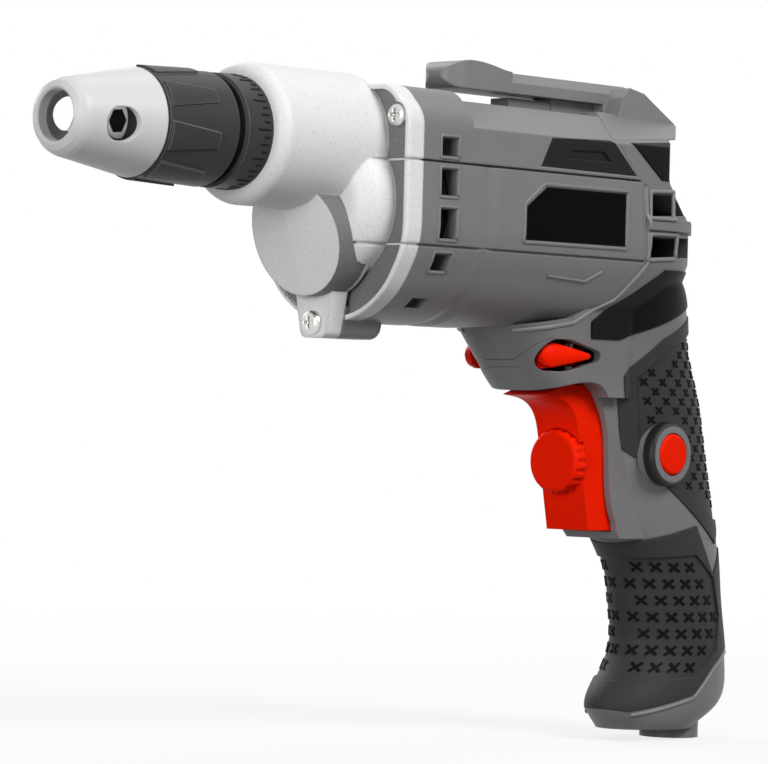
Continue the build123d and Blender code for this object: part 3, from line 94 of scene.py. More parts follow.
MIDDLE = (0.14, 0.0, -0.06)
lamp("left lamp", (0.2, -1.0, 0.70), MIDDLE, 0.5, 11.2)
lamp("front lamp", (-1.2, -0.35, 0.1), MIDDLE, 0.6, 10.5)
lamp("right lamp", (0.5, 1.1, 0.55), MIDDLE, 0.7, 7.0)
lamp("top lamp", (0.65, 0.05, 1.1), MIDDLE, 0.8, 2.8)


def node(tree, kind, **values):
    """A new shader node. Values whose names are its properties are set there, the rest on its sockets."""
    made = tree.nodes.new(kind)
    for key, value in values.items():
        if hasattr(made, key):
            setattr(made, key, value)
        else:
            made.inputs[key.replace("_", " ")].default_value = value
    return made


def join(tree, source, target):
    tree.links.new(source, target)


room = bpy.data.worlds.new("room")
bpy.context.scene.world = room
room.use_nodes = True
tree = room.node_tree
tree.nodes.clear()
place = node(tree, "ShaderNodeTexCoord")
split = node(tree, "ShaderNodeSeparateXYZ")
join(tree, place.outputs["Generated"], split.inputs[0])
height = node(tree, "ShaderNodeMapRange", From_Min=-0.2, From_Max=0.9, To_Min=ROOM_LOW, To_Max=ROOM_HIGH)
join(tree, split.outputs["Z"], height.inputs["Value"])
soft = node(tree, "ShaderNodeBackground")
join(tree, height.outputs[0], soft.inputs["Strength"])
white = node(tree, "ShaderNodeBackground")
white.inputs["Color"].default_value = (1.0, 1.0, 1.0, 1.0)
soft.inputs["Color"].default_value = (1.0, 1.0, 1.0, 1.0)


def seen_ray(tree):
    """1 for what the camera sees, straight, in a reflection or through glass."""
    path = node(tree, "ShaderNodeLightPath")
    seen = node(tree, "ShaderNodeMath", operation="MAXIMUM")
    join(tree, path.outputs["Is Camera Ray"], seen.inputs[0])
    join(tree, path.outputs["Is Glossy Ray"], seen.inputs[1])
    through = node(tree, "ShaderNodeMath", operation="MAXIMUM")
    join(tree, seen.outputs[0], through.inputs[0])
    join(tree, path.outputs["Is Transmission Ray"], through.inputs[1])
    return through.outputs[0]


either = node(tree, "ShaderNodeMixShader")
join(tree, seen_ray(tree), either.inputs[0])
join(tree, soft.outputs[0], either.inputs[1])
join(tree, white.outputs[0], either.inputs[2])
out = node(tree, "ShaderNodeOutputWorld")
join(tree, either.outputs[0], out.inputs["Surface"])

pale = bpy.data.materials.new("pale floor")
pale.use_nodes = True
tree = pale.node_tree
tree.nodes.clear()
matt = node(tree, "ShaderNodeBsdfDiffuse")
tone = node(tree, "ShaderNodeMix", data_type="RGBA")
tone.inputs[6].default_value = (0.16, 0.16, 0.16, 1.0)
tone.inputs[7].default_value = (0.85, 0.85, 0.85, 1.0)
join(tree, tone.outputs[2], matt.inputs["Color"])
glow = node(tree, "ShaderNodeEmission", Strength=1.0)
place = node(tree, "ShaderNodeTexCoord")
away = node(tree, "ShaderNodeVectorMath", operation="DISTANCE")
join(tree, place.outputs["Object"], away.inputs[0])
away.inputs[1].default_value = (0.2, 0.0, FLOOR_Z)
fade = node(tree, "ShaderNodeMapRange", From_Min=0.15, From_Max=0.9, To_Min=0.8, To_Max=1.0)
join(tree, away.outputs["Value"], fade.inputs["Value"])
seen = seen_ray(tree)
share = node(tree, "ShaderNodeMath", operation="MULTIPLY")
join(tree, seen, share.inputs[0])
join(tree, seen, tone.inputs[0])
join(tree, fade.outputs[0], share.inputs[1])
either = node(tree, "ShaderNodeMixShader")
join(tree, share.outputs[0], either.inputs[0])
join(tree, matt.outputs[0], either.inputs[1])
join(tree, glow.outputs[0], either.inputs[2])
out = node(tree, "ShaderNodeOutputMaterial")
join(tree, either.outputs[0], out.inputs["Surface"])
floor_mesh = bpy.data.meshes.new("floor")
floor_corners = [(x * FLOOR_REACH, y * FLOOR_REACH, FLOOR_Z) for x, y in ((-1, -1), (1, -1), (1, 1), (-1, 1))]
floor_mesh.from_pydata(floor_corners, [], [(0, 1, 2, 3)])
floor_mesh.materials.append(pale)
floor = bpy.data.objects.new("floor", floor_mesh)
bpy.context.scene.collection.objects.link(floor)

# Motor: a laminated armature on a steel shaft with a fan and a commutator, inside a laminated
# stator with two coils, with carbon brushes in brass holders on a moulded carrier.


def effect(name, inputs, outputs):
    """An empty shader node group with named sockets, as (tree, input node, output node)."""
    made = bpy.data.node_groups.new(name, "ShaderNodeTree")
    for label, value in inputs.items():
        made.interface.new_socket(label, in_out="INPUT", socket_type="NodeSocketFloat").default_value = value
    for label, kind in outputs.items():
        made.interface.new_socket(label, in_out="OUTPUT", socket_type=kind)
    return made, made.nodes.new("NodeGroupInput"), made.nodes.new("NodeGroupOutput")


def sums(tree, operation, first, second=None, clamp=False):
    """A Math node on sockets or numbers, whose output socket is returned."""
    made = node(tree, "ShaderNodeMath", operation=operation, use_clamp=clamp)
    for socket, value in zip(made.inputs, (first, second)):
        if value is None:
            continue
        if isinstance(value, (int, float)):
            socket.default_value = value
        else:
            join(tree, value, socket)
    return made.outputs[0]


# Fine grain of a surface: two sizes of noise for the height, and a broad one for its tone.
grain, grain_in, grain_out = effect(
    "surface_grain", {"Scale": 2500.0}, {"Height": "NodeSocketFloat", "Tone": "NodeSocketFloat"},
)
place = node(grain, "ShaderNodeTexCoord")
fine = node(grain, "ShaderNodeTexNoise", Detail=3.0, Roughness=0.6)
join(grain, place.outputs["Object"], fine.inputs["Vector"])
join(grain, grain_in.outputs["Scale"], fine.inputs["Scale"])
broad = node(grain, "ShaderNodeTexNoise", Scale=45.0, Detail=4.0, Roughness=0.55)
join(grain, place.outputs["Object"], broad.inputs["Vector"])
join(grain, fine.outputs[0], grain_out.inputs["Height"])
join(grain, sums(grain, "ADD", sums(grain, "MULTIPLY", fine.outputs[0], 0.4),
                 sums(grain, "MULTIPLY", broad.outputs[0], 0.6)), grain_out.inputs["Tone"])

# Rounded edges: the bevelled normal, and a mask of how far it turns from the face.
edges, edges_in, edges_out = effect(
    "rounded_edges", {"Radius": 0.0006}, {"Normal": "NodeSocketVector", "Edge": "NodeSocketFloat"},
)
bevel = node(edges, "ShaderNodeBevel", samples=4)
join(edges, edges_in.outputs["Radius"], bevel.inputs["Radius"])
shape = node(edges, "ShaderNodeNewGeometry")
turn = node(edges, "ShaderNodeVectorMath", operation="DOT_PRODUCT")
join(edges, bevel.outputs[0], turn.inputs[0])
join(edges, shape.outputs["Normal"], turn.inputs[1])
bend = node(edges, "ShaderNodeMapRange", From_Min=0.995, From_Max=0.85, To_Min=0.0, To_Max=1.0)
join(edges, turn.outputs["Value"], bend.inputs["Value"])
join(edges, bevel.outputs[0], edges_out.inputs["Normal"])
join(edges, bend.outputs[0], edges_out.inputs["Edge"])


def surface(name, colour, rough, metal=0.0, grain_scale=2500.0, grain_height=0.00004, tone=0.12, radius=0.0006,
            wear_and_highlight=None, wear_and_highlight_share=0.35, sheen=0.5, relief_and_painted_shade=None):
    """A material with grain in its colour, roughness and height, rounded edges, and a lighter tint along the edges
    that stands partly for wear and partly for a painted edge highlight. The function given last adds the piece's own
    relief,
    and on the casting painted shade: it is given the shader tree and gives back a list of (mask, tint, height in
    metres), laid over each other in that order."""
    made = bpy.data.materials.new(name)
    made.use_nodes = True
    tree = made.node_tree
    shader = tree.nodes["Principled BSDF"]
    shader.inputs["Metallic"].default_value = metal
    shader.inputs["Specular IOR Level"].default_value = sheen
    texture = node(tree, "ShaderNodeGroup", node_tree=grain)
    texture.inputs["Scale"].default_value = grain_scale
    corner = node(tree, "ShaderNodeGroup", node_tree=edges)
    corner.inputs["Radius"].default_value = radius
    dark = [c * (1.0 - tone) for c in colour]
    pale = [min(1.0, c * (1.0 + tone)) for c in colour]
    shades = node(tree, "ShaderNodeMix", data_type="RGBA")
    join(tree, texture.outputs["Tone"], shades.inputs[0])
    shades.inputs[6].default_value = (*dark, 1.0)
    shades.inputs[7].default_value = (*pale, 1.0)
    # Painted highlight: a lighter colour is mixed in along every rounded edge, partly wear and partly a stand-in for
    # edge highlights.
    rub_and_highlight = node(tree, "ShaderNodeMix", data_type="RGBA")
    join(tree, sums(tree, "MULTIPLY", corner.outputs["Edge"], wear_and_highlight_share), rub_and_highlight.inputs[0])
    join(tree, shades.outputs[2], rub_and_highlight.inputs[6])
    rub_and_highlight.inputs[7].default_value = (*(wear_and_highlight or [min(1.0, 1.6 * c + 0.03) for c in colour]), 1.0)
    tinted = rub_and_highlight.outputs[2]
    relief = sums(tree, "MULTIPLY", texture.outputs["Height"], grain_height)
    for mask, tint, depth in relief_and_painted_shade(tree) if relief_and_painted_shade else []:
        if tint:
            over = node(tree, "ShaderNodeMix", data_type="RGBA")
            join(tree, mask, over.inputs[0])
            join(tree, tinted, over.inputs[6])
            over.inputs[7].default_value = (*tint, 1.0)
            tinted = over.outputs[2]
        relief = sums(tree, "ADD", relief, sums(tree, "MULTIPLY", mask, depth))
    join(tree, tinted, shader.inputs["Base Color"])
    gloss = node(tree, "ShaderNodeMapRange", To_Min=max(0.02, rough - 0.08), To_Max=min(1.0, rough + 0.08))
    join(tree, texture.outputs["Tone"], gloss.inputs["Value"])
    join(tree, gloss.outputs[0], shader.inputs["Roughness"])
    lift = node(tree, "ShaderNodeBump", Strength=1.0, Distance=1.0)
    join(tree, relief, lift.inputs["Height"])
    join(tree, corner.outputs["Normal"], lift.inputs["Normal"])
    join(tree, lift.outputs[0], shader.inputs["Normal"])
    return made


def ramp(tree, value, low, high):
    """0 where a value is below low, 1 above high, and a straight rise between them; low may be the larger."""
    made = node(tree, "ShaderNodeMapRange", From_Min=low, From_Max=high, To_Min=0.0, To_Max=1.0)
    join(tree, value, made.inputs["Value"])
    return made.outputs[0]


def coordinates(tree):
    """The X, Y and Z of the piece's own frame, as sockets."""
    made = node(tree, "ShaderNodeTexCoord")
    parts = node(tree, "ShaderNodeSeparateXYZ")
    join(tree, made.outputs["Object"], parts.inputs[0])
    return parts.outputs


def stripe(tree, value, centre, half):
    """A soft-edged stripe where a coordinate is within half of a centre."""
    off = sums(tree, "ABSOLUTE", sums(tree, "SUBTRACT", value, centre))
    return ramp(tree, off, half, 0.6 * half)


def dress(material, *names):
    """Gives CAD nodes a material."""
    for name in names:
        mesh = cad[name].data
        mesh.materials.clear()
        mesh.materials.append(material)


steel = surface("turned steel", (0.56, 0.56, 0.58), 0.3, metal=1.0, grain_scale=900.0, grain_height=0.00001)
copper = surface("enamelled copper", (0.62, 0.25, 0.09), 0.35, metal=0.6, grain_scale=1600.0)
iron = surface("sheet iron", (0.24, 0.24, 0.25), 0.45, metal=0.8, grain_scale=1200.0)
brass = surface("brass", (0.60, 0.42, 0.16), 0.32, metal=1.0, grain_scale=900.0, grain_height=0.00001)
carbon = surface("carbon", (0.03, 0.03, 0.032), 0.7)
inner_black = surface("inner plastic", (0.045, 0.045, 0.05), 0.55)
dress(steel, "armature_shaft", "front_bearing", "rear_bearing")
dress(iron, "armature_core", "stator_core")
dress(copper, "armature_windings", "stator_coils", "commutator")
dress(inner_black, "cooling_fan", "brush_carrier")
dress(brass, "brush_holders")
dress(carbon, "carbon_brushes")

# Gear train and spindle: a hardened steel gear with clutch dogs, a bit holder with a spring clip,
# plain bronze bushes, and a coil of spring wire that keeps the clutch apart until the bit is pushed.
CLUTCH_COIL = dict(radius=0.0046, wire=0.00055, turns=4, start=0.0646, end=0.0729, z=0.0)
dress(steel, "spindle", "bit_clip", "thrust_washer", "drive_gear", "clutch_spring")
dress(brass, "spindle_bush", "gear_bush")


def piece(name, points, faces, material, body, slot, smooth=False):
    """A new piece from its points and faces, with its material, riding on a body."""
    mesh = bpy.data.meshes.new(name)
    mesh.from_pydata(points.tolist(), [], faces.tolist() if isinstance(faces, np.ndarray) else faces)
    mesh.polygons.foreach_set("use_smooth", np.full(len(mesh.polygons), smooth))
    mesh.materials.append(material)
    made = bpy.data.objects.new(name, mesh)
    bpy.context.scene.collection.objects.link(made)
    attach(made, body)
    return made


def coil(radius, wire, turns, start, end, z):
    """A wire wound along X: a small circle carried along a helix, square to it, with flat ends."""
    sides = 10
    turn = np.linspace(0.0, 2 * np.pi * turns, 28 * turns + 1)
    along = (end - start) / turn[-1]
    middle = np.stack([start + along * turn, radius * np.sin(turn), z + radius * np.cos(turn)], axis=1)
    outward = np.stack([np.zeros_like(turn), np.sin(turn), np.cos(turn)], axis=1)
    run = np.stack([np.full_like(turn, along), radius * np.cos(turn), -radius * np.sin(turn)], axis=1)
    across = np.cross(run / np.linalg.norm(run, axis=1)[:, None], outward)
    round_wire = 2 * np.pi * np.arange(sides) / sides
    rings = middle[:, None] + wire * (np.cos(round_wire)[None, :, None] * outward[:, None]
                                      + np.sin(round_wire)[None, :, None] * across[:, None])
    first = sides * np.arange(len(turn) - 1)[:, None]
    side = np.arange(sides)[None]
    following = (side + 1) % sides
    quads = np.stack([first + following, first + sides + following, first + sides + side, first + side], axis=2)
    end_ring = np.arange(sides) + sides * (len(turn) - 1)
    caps = [np.arange(sides)[::-1].tolist(), end_ring.tolist()]
    return rings.reshape(-1, 3), quads.reshape(-1, 4).tolist() + caps


clutch_coil = piece("clutch_coil", *coil(**CLUTCH_COIL), steel, "housing", "steel", True)
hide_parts("clutch_spring")
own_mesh(clutch_coil)

# Gear housing: a casting painted white with a fine speckle, closed by a machined plate and held by
# three plated cross-head screws.
LEDGE_X = 0.0901
KEEL_R = 0.0175
KEEL_Z = -0.0288
KEEL_REAR_X = 0.0870
BARREL_R = 0.0211
# Half width of the painted shade stripes on the flange's ledge and on the keel's flank.
PAINTED_SHADE_BAND = 0.0003


def casting_specks_and_painted_shade(tree):
    """Dark specks in the paint, and painted shade: a darker grey painted on the flange's ledge and on the keel's
    round flank, where shadow falls.
    """
    place = node(tree, "ShaderNodeTexCoord")
    spots = node(tree, "ShaderNodeTexNoise", Scale=1500.0, Detail=1.0)
    join(tree, place.outputs["Object"], spots.inputs["Vector"])
    x, y, z = coordinates(tree)
    shape = node(tree, "ShaderNodeNewGeometry")
    facing = node(tree, "ShaderNodeSeparateXYZ")
    join(tree, shape.outputs["Normal"], facing.inputs[0])
    ledge = sums(tree, "MULTIPLY", stripe(tree, x, LEDGE_X, PAINTED_SHADE_BAND), ramp(tree, facing.outputs["X"], -0.9, -0.97))
    round_off = sums(tree, "SQRT", sums(tree, "ADD", sums(tree, "MULTIPLY", y, y),
                     sums(tree, "POWER", sums(tree, "SUBTRACT", z, KEEL_Z), 2.0)))
    barrel_off = sums(tree, "SQRT", sums(tree, "ADD", sums(tree, "MULTIPLY", y, y), sums(tree, "MULTIPLY", z, z)))
    flank = sums(tree, "MULTIPLY", stripe(tree, round_off, KEEL_R, PAINTED_SHADE_BAND),
                 ramp(tree, x, KEEL_REAR_X + 0.0005, KEEL_REAR_X))
    flank = sums(tree, "MULTIPLY", flank, ramp(tree, barrel_off, BARREL_R - 0.0001, BARREL_R + 0.0001))
    flank = sums(tree, "MULTIPLY", flank, ramp(tree, sums(tree, "ABSOLUTE", facing.outputs["X"]), 0.35, 0.25))
    specks = sums(tree, "MULTIPLY", ramp(tree, spots.outputs[0], 0.60, 0.72), 0.35)
    # Painted shade: the ledge and the keel's flank are tinted dark grey where shadow falls on them.
    painted_shade = sums(tree, "MAXIMUM", ledge, flank)
    return [(sums(tree, "MULTIPLY", painted_shade, 0.9), (0.10, 0.095, 0.10), 0.0), (specks, (0.42, 0.42, 0.43), 0.0)]


white_paint = surface("white casting", (0.78, 0.77, 0.78), 0.42, grain_scale=1800.0, grain_height=0.00005, tone=0.06,
                      radius=0.0012, wear_and_highlight=(0.86, 0.86, 0.86), wear_and_highlight_share=0.3, sheen=0.3, relief_and_painted_shade=casting_specks_and_painted_shade)
machined = surface("machined casting", (0.62, 0.63, 0.65), 0.35, metal=1.0)
plated = surface("plated steel", (0.66, 0.65, 0.63), 0.25, metal=1.0, grain_scale=900.0, grain_height=0.00001)
dress(white_paint, "gear_housing")
dress(machined, "bearing_plate")
dress(plated, "gear_case_screws")

# Depth stop: a black sleeve and grip ring on the housing's neck, a collar with the scale, and the
# white locator that is pushed over the sleeve.
# The pale tint along the black plastic's edges is mostly painted edge highlight, with a little wear.
black = surface("black plastic", (0.040, 0.039, 0.040), 0.40, grain_scale=2800.0, wear_and_highlight=(0.26, 0.26, 0.265),
                wear_and_highlight_share=0.8, radius=0.0005, sheen=0.12)
white_plastic = surface("white plastic", (0.64, 0.63, 0.64), 0.38, grain_scale=3000.0, grain_height=0.00002,
                        tone=0.04, sheen=0.3)
dress(black, "depth_sleeve", "depth_ring", "scale_collar")
dress(white_plastic, "nose_locator")
SCALE_R = 0.0167
SCALE_END_X = 0.0446
SCALE_BARS = 48
BAR_LONG, BAR_MIDDLE, BAR_SHORT = 0.0046, 0.0032, 0.0020
BAR_HALF_TURN = 0.016
BAR_ROOT, BAR_RISE = 0.0003, 0.0002


def copies(points, faces):
    """One list of points and faces for many copies of a small closed shape, given as (copies, corners, 3)."""
    count, corners = points.shape[:2]
    every = faces[None] + corners * np.arange(count)[:, None, None]
    return points.reshape(-1, 3), every.reshape(-1, faces.shape[1])


BLOCK = np.array([(0, 1, 3, 2), (4, 6, 7, 5), (0, 4, 5, 1), (2, 3, 7, 6), (0, 2, 6, 4), (1, 5, 7, 3)])


def scale_bars():
    """Raised bars round the collar: blocks in X, angle and radius, every fourth one long, every second one short."""
    number = np.arange(SCALE_BARS)
    turn = 2 * np.pi * number / SCALE_BARS
    length = np.where(number % 4 == 0, BAR_LONG, np.where(number % 2 == 0, BAR_MIDDLE, BAR_SHORT))
    deep, wide, high = np.meshgrid([0.0, 1.0], [-1.0, 1.0], [-BAR_ROOT, BAR_RISE], indexing="ij")
    angle = turn[:, None] + BAR_HALF_TURN * wide.reshape(-1)
    radius = SCALE_R + high.reshape(-1)
    x = SCALE_END_X - length[:, None] * deep.reshape(-1)
    return np.stack([x, radius * np.sin(angle), radius * np.cos(angle)], axis=2)


scale_print = surface("scale print", (0.006, 0.006, 0.006), 0.6, grain_scale=3000.0, sheen=0.1)
piece("scale_bars", *copies(scale_bars(), BLOCK), scale_print, "housing", "white_plastic")

# Motor housing: one grey moulding of filled nylon with slots for the cooling air, screwed to the gear
# housing. Dark trim panels and bare black plates are set into its sides, and thin dark sleeves
# stand behind the slots.
MOTOR_Z = -0.018
FRONT_SCREEN = dict(start=0.1015, end=0.1120, outer=0.0266, inner=0.0262)
REAR_SCREEN = dict(start=0.1986, end=0.2157, outer=0.0197, inner=0.0193)
END_SCREEN = dict(start=0.2162, end=0.2300, outer=0.0127, inner=0.0123)
LABEL_FRAME = [(0.1498, -0.0094), (0.1899, -0.0092), (0.1899, -0.0272), (0.1411, -0.0274), (0.1411, -0.0158)]
FRONT_VENTS = [(-0.0010, 0.0027), (-0.0115, 0.0039), (-0.0238, 0.0044), (-0.0352, 0.0024)]
VENT_FRONT_X, VENT_REAR_X, VENT_EDGE = 0.1026, 0.1108, 0.0006
LOW_WINDOW = [(0.1562, -0.0369), (0.1748, -0.0379), (0.1810, -0.0345)]


def left_skin(names, x, z):
    """The outermost Y of some nodes' left side over points of the side view: every point is tested against every
    triangle by its barycentric shares, and the lowest Y of the hits is kept."""
    corners = []
    for name in names:
        mesh = cad[name].data
        mesh.calc_loop_triangles()
        points = np.empty(3 * len(mesh.vertices))
        mesh.vertices.foreach_get("co", points)
        index = np.empty(3 * len(mesh.loop_triangles), dtype=np.int32)
        mesh.loop_triangles.foreach_get("vertices", index)
        corners.append(points.reshape(-1, 3)[index.reshape(-1, 3)])
    corners = np.concatenate(corners)
    low, high = corners.min(axis=1), corners.max(axis=1)
    near = (low[:, 0] < x.max()) & (high[:, 0] > x.min()) & (low[:, 2] < z.max()) & (high[:, 2] > z.min())
    a, b, c = corners[near & (low[:, 1] < 0)].transpose(1, 0, 2)
    bx, bz, cx, cz = b[:, 0] - a[:, 0], b[:, 2] - a[:, 2], c[:, 0] - a[:, 0], c[:, 2] - a[:, 2]
    area = bx * cz - bz * cx
    area = np.where(np.abs(area) < 1e-14, np.inf, area)
    px, pz = x[:, None] - a[:, 0], z[:, None] - a[:, 2]
    share_b = (px * cz - pz * cx) / area
    share_c = (bx * pz - bz * px) / area
    hit = (share_b >= -1e-6) & (share_c >= -1e-6) & (share_b + share_c <= 1.000001) & np.isfinite(area)
    y = a[:, 1] + share_b * (b[:, 1] - a[:, 1]) + share_c * (c[:, 1] - a[:, 1])
    return np.where(hit, y, np.inf).min(axis=1)


def filled(values):
    """Values with the missing ones taken from their neighbours along the path."""
    known = np.isfinite(values)
    place = np.arange(len(values))
    return np.interp(place, place[known], values[known])


def bead(name, names, corners, width, height, material, slot, closed=False):
    """A raised bead on the left side and its mirror image on the right. The corners are joined by straight runs in
    the side view and laid on the skin, and a rounded profile is carried along, upright on the skin."""
    corners = np.array([*corners, corners[0]] if closed else corners)
    reached = np.concatenate([[0.0], np.cumsum(np.linalg.norm(np.diff(corners, axis=0), axis=1))])
    along = np.unique(np.concatenate([np.arange(0.0, reached[-1], 0.0012), reached]))
    along = along[:-1] if closed else along
    x, z = np.interp(along, reached, corners[:, 0]), np.interp(along, reached, corners[:, 1])
    step = 0.0004
    y = filled(left_skin(names, x, z))
    fall_x = filled(left_skin(names, x + step, z)) - filled(left_skin(names, x - step, z))
    fall_z = filled(left_skin(names, x, z + step)) - filled(left_skin(names, x, z - step))
    slopes = np.clip(np.stack([fall_x, fall_z]) / (2 * step), -2, 2)
    normal = np.stack([slopes[0], -np.ones_like(x), slopes[1]], axis=1)
    normal /= np.linalg.norm(normal, axis=1)[:, None]
    path = np.stack([x, y, z], axis=1)
    run = np.roll(path, -1, axis=0) - np.roll(path, 1, axis=0) if closed else np.gradient(path, axis=0)
    across = np.cross(normal, run)
    across /= np.linalg.norm(across, axis=1)[:, None]
    profile = np.array([(-0.5, -0.6), (-0.42, 0.55), (-0.2, 1.0), (0.2, 1.0), (0.42, 0.55), (0.5, -0.6)])
    rings = path[:, None] + width * profile[:, 0][None, :, None] * across[:, None]
    rings = rings + height * profile[:, 1][None, :, None] * normal[:, None]
    count, sides = len(path), len(profile)
    first = np.arange(count if closed else count - 1)[:, None]
    after = (first + 1) % count
    side, following = np.arange(sides)[None], (np.arange(sides)[None] + 1) % sides
    ring, next_ring = first * sides, after * sides
    quads = np.stack([ring + side, next_ring + side, next_ring + following, ring + following], axis=2)
    faces = quads.reshape(-1, 4).tolist()
    if not closed:
        faces += [list(range(sides))[::-1], [(count - 1) * sides + k for k in range(sides)]]
    points = rings.reshape(-1, 3)
    shift = len(points)
    faces = [*faces, *[[k + shift for k in reversed(face)] for face in faces]]
    points = np.concatenate([points, points * (1, -1, 1)])
    return piece(name, points, faces, material, "housing", slot, True)



def sleeve(start, end, outer, inner):
    """A thin tube about the motor's axis: a closed rectangle of X and radius carried round it."""
    around = 120
    turn = 2 * np.pi * np.arange(around)[:, None] / around
    x = np.array([start, end, end, start])[None] + 0.0 * turn
    radius = np.array([outer, outer, inner, inner])[None]
    points = np.stack([x, radius * np.sin(turn), MOTOR_Z + radius * np.cos(turn)], axis=2)
    first, side = 4 * np.arange(around)[:, None], np.arange(4)[None]
    after, following = (first + 4) % (4 * around), (side + 1) % 4
    quads = np.stack([first + side, first + following, after + following, after + side], axis=2)
    return points.reshape(-1, 3), quads.reshape(-1, 4)


dark_screen = surface("dust screen", (0.006, 0.006, 0.006), 0.7, grain_scale=1500.0, grain_height=0.0001,
                      sheen=0.05)
piece("front_screen", *sleeve(**FRONT_SCREEN), dark_screen, "housing", "inner_plastic")
piece("rear_screen", *sleeve(**REAR_SCREEN), dark_screen, "housing", "inner_plastic")
piece("end_screen", *sleeve(**END_SCREEN), dark_screen, "housing", "inner_plastic")
grey = surface("grey plastic", (0.185, 0.180, 0.185), 0.42, grain_scale=2600.0, radius=0.0008, sheen=0.3)
bead("label_frame", ["motor_housing", "label_plate_left"], LABEL_FRAME, 0.0013, 0.0005, grey, "grey_plastic", True)
bead("low_window", ["motor_housing"], LOW_WINDOW, 0.0011, 0.0005, grey, "grey_plastic")
for number, (middle, half) in enumerate(FRONT_VENTS, 1):
    low, high = middle - half - VENT_EDGE, middle + half + VENT_EDGE
    around = [(VENT_FRONT_X, low), (VENT_REAR_X, low), (VENT_REAR_X, high), (VENT_FRONT_X, high)]
    bead(f"vent_frame_{number}", ["motor_housing"], around, 0.0010, 0.0004, grey, "grey_plastic", True)
panel_grey = surface("panel plastic", (0.016, 0.015, 0.016), 0.45, grain_scale=2600.0, sheen=0.06)
gloss_black = surface("label black", (0.002, 0.0018, 0.002), 0.3, grain_scale=1200.0, grain_height=0.00001,
                      sheen=0.02)
dress(grey, "motor_housing")
dress(panel_grey, "side_panel_left", "side_panel_right")
dress(gloss_black, "label_plate_left", "label_plate_right")

# Handle: two moulded halves of grey plastic, screwed together from the right round the rear of the
# motor and the switch, with a raised collar for the lock button. The cap with the hanging hook is a
# separate moulding on top of the rear.
BUTTON = (0.228, -0.091)
COLLAR_INNER_R, COLLAR_R = 0.0090, 0.0105
GRIP_COLOUR = (0.038, 0.037, 0.038)


def collar_relief(tree):
    """The dark outer flank of the lock button's collar, and the rubber over its blind place on the right."""
    x, y, z = coordinates(tree)
    off = sums(tree, "SQRT", sums(tree, "ADD", sums(tree, "POWER", sums(tree, "SUBTRACT", x, BUTTON[0]), 2.0),
               sums(tree, "POWER", sums(tree, "SUBTRACT", z, BUTTON[1]), 2.0)))
    inside = ramp(tree, off, COLLAR_R + 0.0001, COLLAR_R - 0.0001)
    flank = sums(tree, "MULTIPLY", ramp(tree, off, COLLAR_INNER_R - 0.0002, COLLAR_INNER_R + 0.0002), inside)
    blind = sums(tree, "MULTIPLY", inside, ramp(tree, y, 0.010, 0.0105))
    return [(sums(tree, "MULTIPLY", flank, ramp(tree, y, -0.0160, -0.0164)), (0.012, 0.011, 0.012), 0.0),
            (blind, GRIP_COLOUR, 0.0)]


dark_grey = surface("dark plastic", (0.180, 0.175, 0.180), 0.46, grain_scale=2600.0, sheen=0.25,
                    relief_and_painted_shade=collar_relief)
light_grey = surface("light plastic", (0.190, 0.185, 0.190), 0.40, grain_scale=2600.0, sheen=0.3)
HALVES = ["rear_half_left", "handle_left", "lower_grip_left"]
SEAM_RIM = [
    (0.1982, -0.0065), (0.2018, -0.0312), (0.1934, -0.0428), (0.1788, -0.0505), (0.1600, -0.0536),
]
REAR_VENTS = [
    [(0.2010, -0.0084), (0.2130, -0.0079), (0.2134, -0.0168), (0.2012, -0.0169)],
    [(0.2016, -0.0218), (0.2160, -0.0214), (0.2160, -0.0290), (0.2011, -0.0300)],
]
FOOT_RIM = [(0.2235, -0.1751), (0.2458, -0.1698), (0.2565, -0.1607), (0.2643, -0.1563), (0.2730, -0.1548)]
dress(dark_grey, *HALVES, "rear_half_right", "handle_right", "lower_grip_right")
dress(light_grey, "hang_hook")
dress(steel, "handle_screws")
rim_grey = surface("rim plastic", (0.22, 0.215, 0.22), 0.42, grain_scale=2600.0, sheen=0.3)
bead("seam_rim", HALVES, SEAM_RIM, 0.0016, 0.0005, rim_grey, "dark_plastic")
bead("foot_rim", HALVES, FOOT_RIM, 0.0014, 0.0006, rim_grey, "dark_plastic")
for number, corners in enumerate(REAR_VENTS, 1):
    bead(f"rear_vent_frame_{number}", HALVES, corners, 0.0014, 0.0006, rim_grey, "dark_plastic", True)

# Soft skins: black rubber moulded over the handle halves, with staggered raised crosses in two sunk
# fields on each side, and smooth pads at the rear and on the flanks.
GRIP = np.array([  # height, front, back and half width of the handle, in millimetres
    (-40, 190.5, 243.7, 24.2), (-46, 191.6, 246.6, 22.6), (-52, 193.1, 248.8, 20.8), (-58, 195.0, 251.2, 19.2),
    (-64, 197.1, 254.2, 18.2), (-70, 199.4, 257.2, 17.6), (-76, 201.6, 259.6, 17.25), (-82, 203.8, 261.2, 17.0),
    (-88, 205.9, 262.6, 16.85), (-94, 207.8, 264.0, 16.75), (-100, 209.7, 265.5, 16.65), (-106, 211.9, 267.0, 16.6),
    (-112, 214.7, 268.4, 16.5), (-118, 218.5, 269.5, 16.4), (-122, 221.6, 270.0, 16.3), (-127, 225.0, 270.5, 16.2),
    (-132, 226.9, 270.9, 16.2), (-137, 228.0, 271.4, 16.2), (-142, 228.9, 272.1, 16.2), (-147, 229.8, 273.0, 16.3),
    (-152, 229.8, 274.0, 16.4), (-157, 228.0, 274.9, 16.6), (-161, 225.5, 275.5, 16.8), (-165, 222.3, 275.9, 17.0),
]) / 1000.0
FIELD_SINK = 0.0003
PALM_FIELD = [
    (0.2135, -0.067), (0.226, -0.0575), (0.252, -0.047), (0.290, -0.042), (0.290, -0.111), (0.259, -0.1125),
    (0.219, -0.092),
]
FINGER_FIELD = [
    (0.214, -0.1255), (0.246, -0.1235), (0.2565, -0.131), (0.2605, -0.143), (0.258, -0.155), (0.247, -0.163),
    (0.214, -0.165),
]
BUTTON_CLEAR = 0.0125
